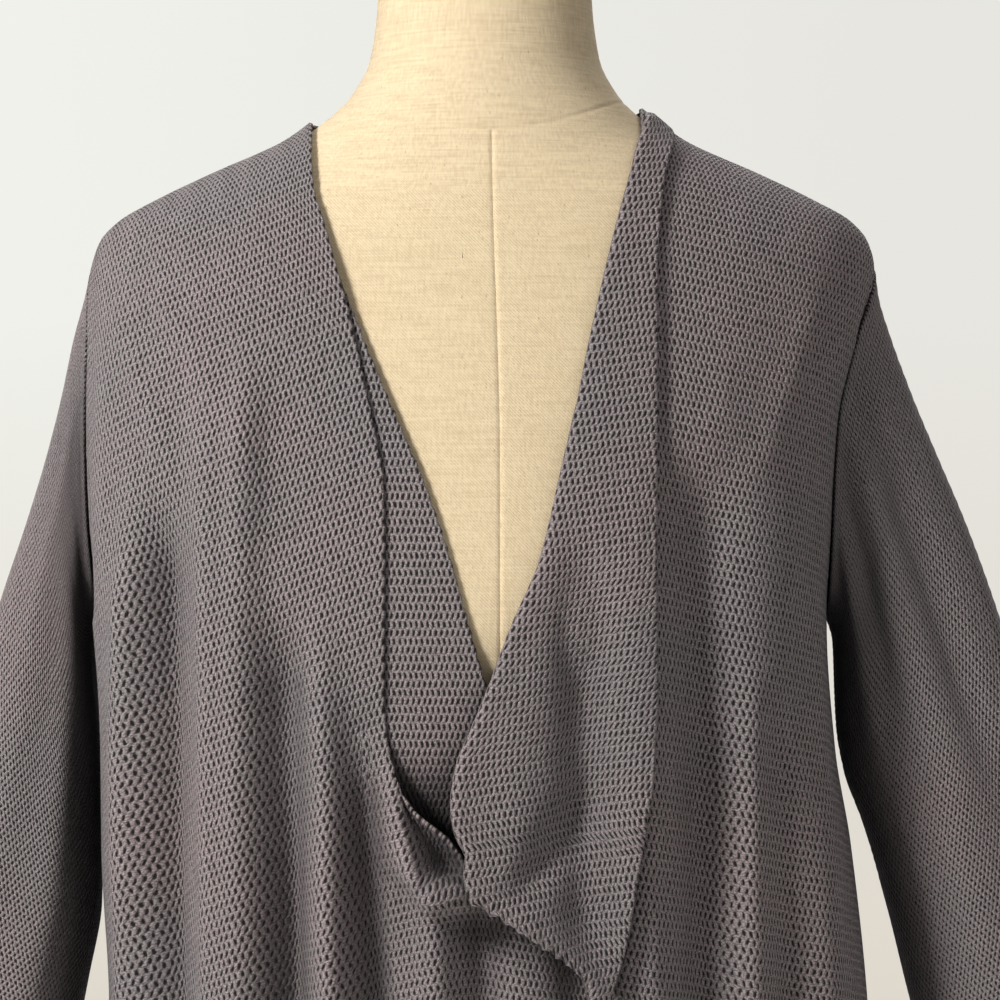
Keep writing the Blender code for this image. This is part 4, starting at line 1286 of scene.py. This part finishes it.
def wall(name, net, inward=1.0, ridge_normal=None, rows=None):
    """Closed thin wall on a net, with rounded edges and the stitch numbers as a map."""
    points = np.array(net.points, float)
    cells = net.cells
    raised = np.array(net.raised)
    normals = net_normals(points, cells, inward)
    if ridge_normal:
        for key, kind in enumerate(net.kinds):
            if kind == "ridge" and abs(points[key][1]) < 1e-6:
                normals[key] = ridge_normal(points[key])
    border = boundary_pairs(cells)
    away = border_outward(points, normals, cells, border)
    for key in away:
        if net.kinds[key] in ("seam", "ridge"):
            points[key] -= away[key] * SEAM_INSET
    body = points + normals * raised[:, None] * RELIEF
    count = len(points)
    outer = body + normals * CLOTH / 2.0
    inner = body - normals * CLOTH / 2.0
    rims = sorted(away)
    rim_at = {key: 2 * count + n for n, key in enumerate(rims)}
    rim_points = np.array([body[key] + away[key] * EDGE_BULGE for key in rims])
    verts = np.vstack([outer, inner, rim_points]) * MM
    verts[:, 2] += NECK_POINT_HEIGHT * MM
    faces = []
    maps = []
    for keys, numbers in zip(cells, net.numbers):
        for tri in split(keys, net.raised, True):
            faces.append([keys[n] for n in tri])
            maps.append([numbers[n] for n in tri])
    for keys, numbers in inner_polygons(net, away):
        faces.append([key + count for key in reversed(keys)])
        maps.append(list(reversed(numbers)))
    for a, b in border:
        at_a = net.stitches[a]
        at_b = net.stitches[b]
        faces.append([b, a, rim_at[a], rim_at[b]])
        faces.append([rim_at[b], rim_at[a], a + count, b + count])
        maps.append([at_b, at_a, at_a, at_b])
        maps.append([at_b, at_a, at_a, at_b])
    used = sorted({n for face in faces for n in face})
    new_at = {n: m for m, n in enumerate(used)}
    mesh = bpy.data.meshes.new(name)
    mesh.from_pydata(verts[used].tolist(), [], [[new_at[n] for n in face] for face in faces])
    layer = mesh.uv_layers.new(name="Stitch")
    if rows:
        maps = [[rows(pair) for pair in corners] for corners in maps]
    flat = [value for corners in maps for pair in corners for value in pair]
    layer.uv.foreach_set("vector", flat)
    tidy = bmesh.new()
    tidy.from_mesh(mesh)
    bmesh.ops.recalc_face_normals(tidy, faces=tidy.faces[:])
    tidy.to_mesh(mesh)
    tidy.free()
    mesh.shade_smooth()
    return shown(name, mesh)


def skin_normal(point):
    """Direction away from the body's skin, slope included, for places on the shoulder ridge."""
    x, _, z = point
    side = side_name(x)
    slope = (BODY[side](z + 1.0) - BODY[side](z - 1.0)) / 2.0
    both = np.array((copysign(1.0, x), 0.0, -slope))
    return both / np.linalg.norm(both)


# ---- the form

SEAM_HALF = 0.9                # half width of the form's sewn seams
SEAM_DEPTH = 0.7
SHARP_ANGLE = 35.0             # degrees
NECK_SEAM_FRONT = -13.5        # level of the neck seam at the front and at the sides
NECK_SEAM_SIDE = 6.5
NECK_SEAM_BACK = 4.0
NECK_SEAM_REACH = 72.0
CENTRE_SEAM_TOP = 3.9          # x of the front's centre seam at its top and further down
CENTRE_SEAM_LOW = 8.0
CENTRE_SEAM_RUN = 170.0


def neck_seam_level(x, y):
    share = min(abs(x) / NECK_SEAM_REACH, 1.0)
    front = mix(NECK_SEAM_FRONT, NECK_SEAM_SIDE, share ** 2)
    return front if y < 0 else mix(NECK_SEAM_BACK, NECK_SEAM_SIDE, share ** 2)


def centre_seam_x(z):
    """The centre seam leans a little to the right on its way down."""
    return mix(CENTRE_SEAM_TOP, CENTRE_SEAM_LOW, ease((NECK_SEAM_FRONT - z) / CENTRE_SEAM_RUN))


SEAM_OFFSETS = (-14.0, -9.0, -5.0, -2.6, -1.4, -0.7, 0.0, 0.7, 1.4, 2.6, 5.0, 9.0, 14.0)
SEAM_OFFSETS_AT = 170.0        # half width of the form for which these are millimetres
SEAM_ZONE = (-0.13, 0.17)      # turns beside the front's middle taken by the seam's own columns


def form_turns(z):
    """Turns round the form at a level, with close places along the centre seam."""
    half = FORM["half"](z)
    power = FORM["square"](z) / 2.0
    turns = [TAU * k / FORM_SIDES - pi / 2.0 for k in range(FORM_SIDES)]
    turns = [t for t in turns if not SEAM_ZONE[0] < t + pi / 2.0 < SEAM_ZONE[1]]
    for offset in SEAM_OFFSETS:
        x = centre_seam_x(z) + offset * half / SEAM_OFFSETS_AT
        turns.append(-pi / 2.0 + copysign(asin((abs(x) / half) ** power), x))
    return sorted(turns)


def form_levels():
    levels = [FORM_BOTTOM]
    while levels[-1] < FORM_TOP - FORM_STEP / 2.0:
        fine = FINE_BAND[0] < levels[-1] < FINE_BAND[1]
        levels.append(levels[-1] + (FINE_STEP if fine else FORM_STEP))
    levels[-1] = FORM_TOP
    return levels


def form_point(turn, z):
    half = FORM["half"](z)
    square = FORM["square"](z)
    face = "front" if sin(turn) < 0 else "back"
    depth = FORM[face](z)
    x = copysign(half * abs(cos(turn)) ** (2.0 / square), cos(turn))
    y = copysign(depth * abs(sin(turn)) ** (2.0 / square), sin(turn))
    level = neck_seam_level(x, y)
    dip = SEAM_DEPTH * exp(-((z - level) / SEAM_HALF) ** 2)
    if z < level and y < 0:
        dip += SEAM_DEPTH * exp(-((x - centre_seam_x(z)) / SEAM_HALF) ** 2)
    size = hypot(x, y)
    return x * (1.0 - dip / size), y * (1.0 - dip / size), z


def shell(name, verts, count, ends, lifted_by):
    """Closed piece from rings of points, each of the same count, and the middle points of both ends."""
    rings = len(verts) // count
    faces = []
    for low in range(0, (rings - 1) * count, count):
        for k in range(count):
            after = (k + 1) % count
            faces.append((low + k, low + after, low + count + after, low + count + k))
    for base, place, flip in ((0, ends[0], True), ((rings - 1) * count, ends[1], False)):
        middle = len(verts)
        verts.append(place)
        for k in range(count):
            pair = (base + k, base + (k + 1) % count)
            faces.append((pair[1], pair[0], middle) if flip else (pair[0], pair[1], middle))
    return mesh_object(name, verts, faces, lifted_by)


def make_form():
    verts = []
    for z in form_levels():
        turns = form_turns(z)
        verts += [form_point(turn, z) for turn in turns]
    ends = ((0.0, 0.0, FORM_BOTTOM), (0.0, 0.0, FORM_TOP))
    return shell("form_torso", verts, len(turns), ends, NECK_POINT_HEIGHT)


def mesh_object(name, verts, faces, lifted_by):
    mesh = bpy.data.meshes.new(name)
    mesh.from_pydata([(x * MM, y * MM, (z + lifted_by) * MM) for x, y, z in verts], [], faces)
    mesh.shade_smooth()
    mesh.set_sharp_from_angle(angle=radians(SHARP_ANGLE))
    return shown(name, mesh)


def round_place(radius, turn):
    return radius * cos(turn), radius * sin(turn)


def turned(name, profile, sides=120, shape=round_place, centre_y=0.0):
    """Turned piece from a profile of radius and height, closed at both ends."""
    verts = []
    for radius, z in profile:
        verts += [(*shape(radius, TAU * k / sides), z) for k in range(sides)]
    ends = ((0.0, centre_y, profile[0][1]), (0.0, centre_y, profile[-1][1]))
    return shell(name, verts, sides, ends, 0.0)


def rounded(radius, low, high, edge, steps=5):
    """Profile of a disc with its upper edge rounded."""
    profile = [(radius - 1.0, low), (radius, low + 1.0)]
    for k in range(steps + 1):
        angle = pi / 2.0 * k / steps
        profile.append((radius - edge + edge * cos(angle), high - edge + edge * sin(angle)))
    return profile


BASE_RADIUS = 165.0
BASE_HEIGHT = 16.0
BASE_EDGE = 5.0
POLE_RADIUS = 14.0
FLANGE_RADIUS = 42.0
FLANGE_HEIGHT = 9.0
FOOT_RADIUS = 34.0
FOOT_HEIGHT = 16.0
FOOT_EASE = 5.0
CAP_EDGE = 4.0
CAP_HEIGHT = 12.0
CAP_MARGIN = 2.0
CAP_CENTRE = 7.5               # the neck's middle lies this far back
CAP_STEPS = 6
POLE_EASE = (1.5, 2.0)         # fillet of the pole on its flanges


def cap_shape(margin, turn):
    """Place on the neck's outline, drawn in by a margin."""
    half = FORM["half"](FORM_TOP) - margin
    face = "front" if sin(turn) < 0 else "back"
    return half * cos(turn), (FORM[face](FORM_TOP) - margin) * sin(turn)


def make_cap():
    low = NECK_POINT_HEIGHT + FORM_TOP + SEAM_GAP
    high = low + CAP_HEIGHT
    profile = [(CAP_MARGIN + 1.0, low), (CAP_MARGIN, low + 1.0)]
    for k in range(CAP_STEPS + 1):
        angle = pi / 2.0 * k / CAP_STEPS
        inset = CAP_MARGIN + CAP_EDGE * (1.0 - cos(angle))
        profile.append((inset, high - CAP_EDGE * (1.0 - sin(angle))))
    return turned("form_neck_cap", profile, shape=cap_shape, centre_y=CAP_CENTRE)


def make_pole():
    foot = BASE_HEIGHT + SEAM_GAP
    top = NECK_POINT_HEIGHT + FORM_BOTTOM - SEAM_GAP
    profile = [
        (FOOT_RADIUS, foot),
        (FOOT_RADIUS, foot + FOOT_EASE - 1.0),
        (FOOT_RADIUS - 1.0, foot + FOOT_EASE),
        (FOOT_RADIUS - FOOT_EASE, foot + FOOT_HEIGHT / 2.0),
        (POLE_RADIUS + FOOT_EASE, foot + FOOT_HEIGHT),
        (POLE_RADIUS + POLE_EASE[0], foot + FOOT_HEIGHT + POLE_EASE[1]),
        (POLE_RADIUS, foot + FOOT_HEIGHT + FOOT_EASE),
        (POLE_RADIUS, top - FLANGE_HEIGHT - FOOT_EASE),
        (POLE_RADIUS + POLE_EASE[0], top - FLANGE_HEIGHT - POLE_EASE[1]),
        (POLE_RADIUS + FOOT_EASE, top - FLANGE_HEIGHT),
        (FLANGE_RADIUS - 1.0, top - FLANGE_HEIGHT / 2.0),
        (FLANGE_RADIUS, top - FLANGE_HEIGHT / 2.0 + 1.0),
        (FLANGE_RADIUS, top),
    ]
    return turned("stand_pole", profile, sides=72)


def make_base():
    return turned("stand_base", rounded(BASE_RADIUS, 0.0, BASE_HEIGHT, BASE_EDGE), sides=160)


# ---- materials

class Nodes:
    """Small helper that adds nodes to one tree."""

    def __init__(self, tree):
        self.tree = tree

    def node(self, kind, **settings):
        made = self.tree.nodes.new(kind)
        for key, value in settings.items():
            setattr(made, key, value)
        return made

    def put(self, socket, value):
        if isinstance(value, bpy.types.NodeSocket):
            self.tree.links.new(value, socket)
        else:
            socket.default_value = value

    def fed(self, made, values, output=0):
        """The output of a node after its first sockets, or the named ones, are filled."""
        pairs = values.items() if isinstance(values, dict) else enumerate(values)
        for key, value in pairs:
            self.put(made.inputs[key], value)
        return made.outputs[output]

    def math(self, operation, *values):
        return self.fed(self.node("ShaderNodeMath", operation=operation), values)

    def times(self, a, b):
        return self.math("MULTIPLY", a, b)

    def plus(self, a, b):
        return self.math("ADD", a, b)

    def minus(self, a, b):
        return self.math("SUBTRACT", a, b)

    def wave(self, value, pace):
        """Sine of a value times a pace."""
        return self.math("SINE", self.times(value, pace))

    def ramp(self, value, low, high, out_low=0.0, out_high=1.0, kind="SMOOTHSTEP"):
        made = self.node("ShaderNodeMapRange", interpolation_type=kind)
        return self.fed(made, (value, low, high, out_low, out_high))

    def mix(self, share, a, b, kind="MIX"):
        made = self.node("ShaderNodeMix", data_type="RGBA", blend_type=kind)
        return self.fed(made, {0: share, 6: a, 7: b}, 2)

    def parts(self, vector):
        made = self.node("ShaderNodeSeparateXYZ")
        self.put(made.inputs[0], vector)
        return made.outputs

    def stretched(self, vector, scale):
        return self.fed(self.node("ShaderNodeVectorMath", operation="MULTIPLY"), (vector, scale))

    def noise(self, vector, scale, detail=2.0, roughness=0.5):
        values = {"Vector": vector, "Scale": scale, "Detail": detail, "Roughness": roughness}
        return self.fed(self.node("ShaderNodeTexNoise"), values, "Fac")

    def place(self):
        return self.node("ShaderNodeTexCoord").outputs["Object"]


class Paint(Nodes):
    """Nodes of one material, and its shader's sockets by name."""

    def __init__(self, name):
        self.material = bpy.data.materials.new(name)
        self.material.use_nodes = True
        super().__init__(self.material.node_tree)
        self.shader = self.tree.nodes["Principled BSDF"]

    def give(self, **values):
        """Sets sockets of the shader; an underscore in a name stands for a space."""
        for name, value in values.items():
            self.put(self.shader.inputs[name.replace("_", " ")], value)
        return self.material

    def bump(self, height, distance, strength=1.0):
        values = {"Height": height, "Distance": distance, "Strength": strength}
        return self.fed(self.node("ShaderNodeBump"), values, "Normal")

    def painted_hollow_shade(self, colour):
        """Painted shade: the colour is darkened in the hollows between folds and under laps, where ambient
        occlusion finds little open air.
        """
        open_air = self.node("ShaderNodeAmbientOcclusion", samples=4)
        open_air.inputs["Distance"].default_value = HOLLOW_REACH
        share = self.ramp(open_air.outputs["AO"], HOLLOW_FULL, HOLLOW_NONE)
        return self.mix(share, PAINTED_HOLLOW_SHADE, colour)


# painted shade: in hollows between folds and under laps the knit's colour is darkened by ambient occlusion
HOLLOW_REACH = 0.06             # metres
HOLLOW_FULL = 0.25              # openness at which the hollow colour is full
HOLLOW_NONE = 0.90
PAINTED_HOLLOW_SHADE = (0.020, 0.017, 0.018, 1.0)
# light yarn tone for the random twist, also used as a painted highlight on the raised loops
YARN_LIGHT_AND_HIGHLIGHT = (0.400, 0.350, 0.350, 1.0)
YARN_MID = (0.105, 0.090, 0.092, 1.0)
# painted shade in the stitch pits
PAINTED_PIT_SHADE = (0.010, 0.008, 0.009, 1.0)
CLOUD_WARM = (1.06, 1.0, 0.99, 1.0)
CLOUD_COOL = (0.92, 0.95, 0.94, 1.0)


def knit_paint():
    """Moss stitch: pits at every second stitch, slanting loops between them; painted shade in the pits and
    hollows, a painted highlight on the loops.
    """
    p = Paint("moss_knit")
    stitch = p.node("ShaderNodeUVMap", uv_map="Stitch").outputs["UV"]
    wale, course, _ = p.parts(stitch)
    place = p.place()
    wale = p.plus(wale, p.times(p.minus(p.noise(stitch, 0.35, 1.0), 0.5), 0.5))
    wale = p.plus(wale, p.times(p.minus(p.noise(stitch, 1.1, 1.0), 0.5), 0.7))
    lean = p.times(p.wave(course, pi), 0.16)
    across = p.math("COSINE", p.times(p.plus(wale, lean), pi))
    up = p.math("COSINE", p.times(course, pi))
    lattice = p.times(across, up)
    pit = p.ramp(lattice, 0.12, 0.80)
    loop = p.ramp(lattice, 0.35, -0.75)
    twist = p.noise(p.stretched(stitch, (1.0, 3.0, 1.0)), 1.7)
    fibre = p.noise(place, 2600.0, 3.0)
    height = p.minus(p.times(loop, 0.5), p.times(pit, 0.75))
    height = p.plus(p.plus(height, p.times(twist, 0.22)), p.times(fibre, 0.10))
    body = p.mix(p.ramp(twist, 0.36, 0.66), YARN_MID, YARN_LIGHT_AND_HIGHLIGHT)
    # painted highlight: the raised loops are painted lighter
    body = p.mix(p.times(loop, 0.25), body, YARN_LIGHT_AND_HIGHLIGHT)
    # painted shade: the pits take a near-black colour, and the hollows between folds are darkened by ambient
    # occlusion
    colour = p.painted_hollow_shade(p.mix(pit, body, PAINTED_PIT_SHADE))
    tone = p.mix(p.ramp(p.noise(place, 9.0), 0.3, 0.7), CLOUD_WARM, CLOUD_COOL)
    return p.give(Base_Color=p.mix(1.0, colour, tone, "MULTIPLY"), Normal=p.bump(height, 0.0009),
                  Roughness=p.ramp(fibre, 0.2, 0.8, 0.72, 0.9), Specular_IOR_Level=0.25,
                  Sheen_Weight=0.25, Sheen_Roughness=0.45, Sheen_Tint=(0.75, 0.70, 0.72, 1.0))


LINEN_LIGHT = (0.84, 0.69, 0.46, 1.0)
LINEN_MID = (0.66, 0.51, 0.32, 1.0)
LINEN_DARK = (0.40, 0.29, 0.17, 1.0)
FLECK = (0.28, 0.18, 0.10, 1.0)
TWILL_TOP = 0.855              # above this height the linen is a plain weave, below a fine twill


def linen_paint():
    """Natural linen: slubby plain weave over a fine twill, with stray dark fibres."""
    p = Paint("natural_linen")
    place = p.place()
    x, _, z = p.parts(place)
    warp = p.noise(p.stretched(place, (1.0, 1.0, 0.06)), 900.0, 3.0)
    weft = p.noise(p.stretched(place, (0.06, 0.06, 1.0)), 900.0, 3.0)
    slub = p.plus(warp, weft)
    threads = p.times(p.wave(x, 5200.0), p.wave(z, 5200.0))
    low = p.ramp(z, TWILL_TOP + 0.003, TWILL_TOP - 0.003)
    twill = p.times(p.wave(p.plus(x, z), 3750.0), low)
    weave = p.plus(p.times(threads, 0.25), p.times(twill, 0.4))
    tone = p.plus(p.times(slub, 0.9), p.times(weave, 0.55))
    colour = p.mix(p.ramp(tone, 0.50, 1.20), LINEN_MID, LINEN_LIGHT)
    dirt = p.ramp(p.noise(p.stretched(place, (1.0, 1.0, 0.4)), 700.0, 4.0, 0.75), 0.58, 0.74)
    colour = p.mix(p.times(dirt, 0.55), colour, LINEN_DARK)
    specks = p.node("ShaderNodeTexVoronoi", feature="F1")
    far = p.fed(specks, {"Vector": p.stretched(place, (1.0, 1.0, 0.45)), "Scale": 150.0}, "Distance")
    colour = p.mix(p.times(p.ramp(far, 0.085, 0.03), 0.45), colour, FLECK)
    height = p.plus(p.times(slub, 0.6), p.times(weave, 0.5))
    return p.give(Base_Color=colour, Roughness=0.88, Specular_IOR_Level=0.2, Sheen_Weight=0.1,
                  Normal=p.bump(height, 0.0003, 0.8))


def wood_paint():
    p = Paint("turned_wood")
    place = p.place()
    rings = p.node("ShaderNodeTexWave", wave_type="BANDS", bands_direction="Y")
    values = {"Vector": p.stretched(place, (0.35, 1.0, 1.0)), "Scale": 55.0, "Distortion": 5.0,
              "Detail": 3.0, "Detail Scale": 1.4}
    pores = p.noise(p.stretched(place, (0.12, 1.0, 1.0)), 1500.0, 3.0)
    colour = p.mix(p.fed(rings, values, "Fac"), (0.50, 0.31, 0.15, 1.0), (0.34, 0.19, 0.085, 1.0))
    colour = p.mix(p.ramp(pores, 0.55, 0.75), colour, (0.22, 0.12, 0.055, 1.0))
    return p.give(Base_Color=colour, Roughness=p.ramp(pores, 0.2, 0.8, 0.38, 0.55),
                  Normal=p.bump(pores, 0.0002, 0.5))


def metal_paint(name, colour, grain):
    """Satin metal with fine turning marks and faint smudges."""
    p = Paint(name)
    place = p.place()
    marks = p.noise(p.stretched(place, grain), 900.0)
    smudge = p.noise(place, 30.0, 4.0)
    shade = tuple(0.8 * c for c in colour[:3]) + (1.0,)
    rough = p.plus(p.ramp(marks, 0.2, 0.8, 0.26, 0.36), p.ramp(smudge, 0.45, 0.7, 0.0, 0.12))
    return p.give(Base_Color=p.mix(p.ramp(marks, 0.25, 0.75), shade, colour), Metallic=1.0,
                  Roughness=rough, Normal=p.bump(marks, 0.00008, 0.5))


def floor_paint():
    p = Paint("pale_floor")
    cloud = p.noise(p.place(), 1.2)
    return p.give(Base_Color=p.mix(cloud, (0.88, 0.865, 0.83, 1.0), (0.91, 0.895, 0.86, 1.0)), Roughness=0.8)


# ---- stage, light and camera

FLOOR_RADIUS = 2.4             # metres
FLOOR_LEVEL = -0.2
CAMERA_PLACE = (0.0079, -1.6, 0.700)
CAMERA_DISTANCE = 1.6
PICTURE_WIDTH = 1000.0         # pixels
PIXELS_PER_MM = 1.91           # at the shoulder plane
FRAME_WIDTH = PICTURE_WIDTH / PIXELS_PER_MM * MM
SENSOR = 36.0


def make_floor():
    sides = 128
    turns = [TAU * k / sides for k in range(sides)]
    reach = FLOOR_RADIUS / MM
    verts = [(reach * cos(turn), reach * sin(turn), FLOOR_LEVEL) for turn in turns]
    ground = mesh_object("stage_floor", verts, [tuple(range(sides))], lifted_by=0.0)
    ground.data.materials.append(floor_paint())


def area_light(name, place, target, size, power, colour):
    data = bpy.data.lights.new(name, "AREA")
    data.shape = "DISK"
    data.size = size
    data.energy = power
    data.color = colour
    thing = shown(name, data)
    thing.location = place
    thing.rotation_euler = (Vector(target) - Vector(place)).to_track_quat("-Z", "Y").to_euler()


def make_light():
    area_light("key", (-1.05, -0.975, 1.2525), (0.0, 0.0, 0.66), 0.4, 23.6, (1.0, 0.99, 0.98))
    area_light("fill", (0.8, -1.9, 2.3), (0.0, 0.0, 0.70), 1.2, 9.5, (1.0, 0.98, 0.96))
    area_light("overhead", (0.0, 0.9, 3.6), (0.0, 0.4, 0.0), 3.0, 40.0, (1.0, 0.99, 0.97))
    area_light("back", (0.6, 2.6, 2.0), (0.0, 0.0, 0.7), 1.8, 30.0, (0.97, 0.98, 1.0))


WALL_LEFT = (0.875, 0.880, 0.835, 1.0)
WALL_RIGHT = (0.800, 0.790, 0.745, 1.0)
WALL_LOW = (0.74, 0.69, 0.61, 1.0)
WALL_TURN = (-0.15, 0.12)      # the wall's colour changes between these directions in x
WALL_FALL = (0.06, -0.16)      # and between these in z
AMBIENT = (0.86, 0.86, 0.88, 1.0)
AMBIENT_STRENGTH = 0.10


def make_world():
    """Pale wall all round, a little darker to the right and below; its light on the object is dimmer."""
    world = bpy.data.worlds.new("studio")
    bpy.context.scene.world = world
    world.use_nodes = True
    world.node_tree.nodes.clear()
    n = Nodes(world.node_tree)
    x, _, z = n.parts(n.node("ShaderNodeTexCoord").outputs["Generated"])
    wall_colour = n.mix(n.ramp(x, *WALL_TURN, kind="LINEAR"), WALL_LEFT, WALL_RIGHT)
    wall_colour = n.mix(n.ramp(z, *WALL_FALL, kind="LINEAR"), wall_colour, WALL_LOW)
    seen = n.fed(n.node("ShaderNodeBackground"), (wall_colour,))
    lit = n.fed(n.node("ShaderNodeBackground"), (AMBIENT, AMBIENT_STRENGTH))
    straight = n.node("ShaderNodeLightPath").outputs["Is Camera Ray"]
    blend = n.fed(n.node("ShaderNodeMixShader"), (straight, lit, seen))
    n.put(n.node("ShaderNodeOutputWorld").inputs["Surface"], blend)


def make_camera():
    data = bpy.data.cameras.new("camera")
    data.sensor_width = SENSOR
    data.lens = SENSOR * CAMERA_DISTANCE / FRAME_WIDTH
    camera = shown("camera", data)
    camera.location = CAMERA_PLACE
    camera.rotation_euler = (pi / 2.0, 0.0, 0.0)
    bpy.context.scene.camera = camera


# ---- the whole

def dress(thing, paint, node):
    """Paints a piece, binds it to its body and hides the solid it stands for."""
    thing.data.materials.append(paint)
    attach(thing, "root")
    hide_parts(node)


def make_knits(paint):
    front, front_loops = panel_net("front")
    back, back_loops = panel_net("back")
    pieces = {
        "front": wall("knit_front", front, ridge_normal=skin_normal, rows=front_rows),
        "back": wall("knit_back", back, -1.0, ridge_normal=skin_normal),
        "under_front": wall("knit_under_front", under_net()),
        "drape": wall("knit_drape", drape_net(), rows=drape_rows),
    }
    for side, rows, folds in (("left", LEFT_SLEEVE_ROWS, LEFT_SLEEVE_FOLDS),
                              ("right", RIGHT_SLEEVE_ROWS, RIGHT_SLEEVE_FOLDS)):
        sleeve = Sleeve(rows, folds, side, front_loops[side], back_loops[side])
        pieces["sleeve_" + side] = wall("knit_sleeve_" + side, sleeve_net(sleeve, rows[-1][0]))
    for node, piece in pieces.items():
        dress(piece, paint, node)
    return pieces


def main():
    linen = linen_paint()
    knits = make_knits(knit_paint())
    dress(make_form(), linen, "torso")
    dress(make_cap(), wood_paint(), "neck_cap")
    pole_paint = metal_paint("pole_metal", (0.42, 0.41, 0.40, 1.0), (0.1, 0.1, 1.0))
    dress(make_pole(), pole_paint, "pole")
    base_paint = metal_paint("base_metal", (0.36, 0.35, 0.34, 1.0), (1.0, 0.1, 1.0))
    dress(make_base(), base_paint, "base")
    make_floor()
    make_light()
    make_world()
    make_camera()
    bpy.context.scene.view_settings.view_transform = "Standard"


main()
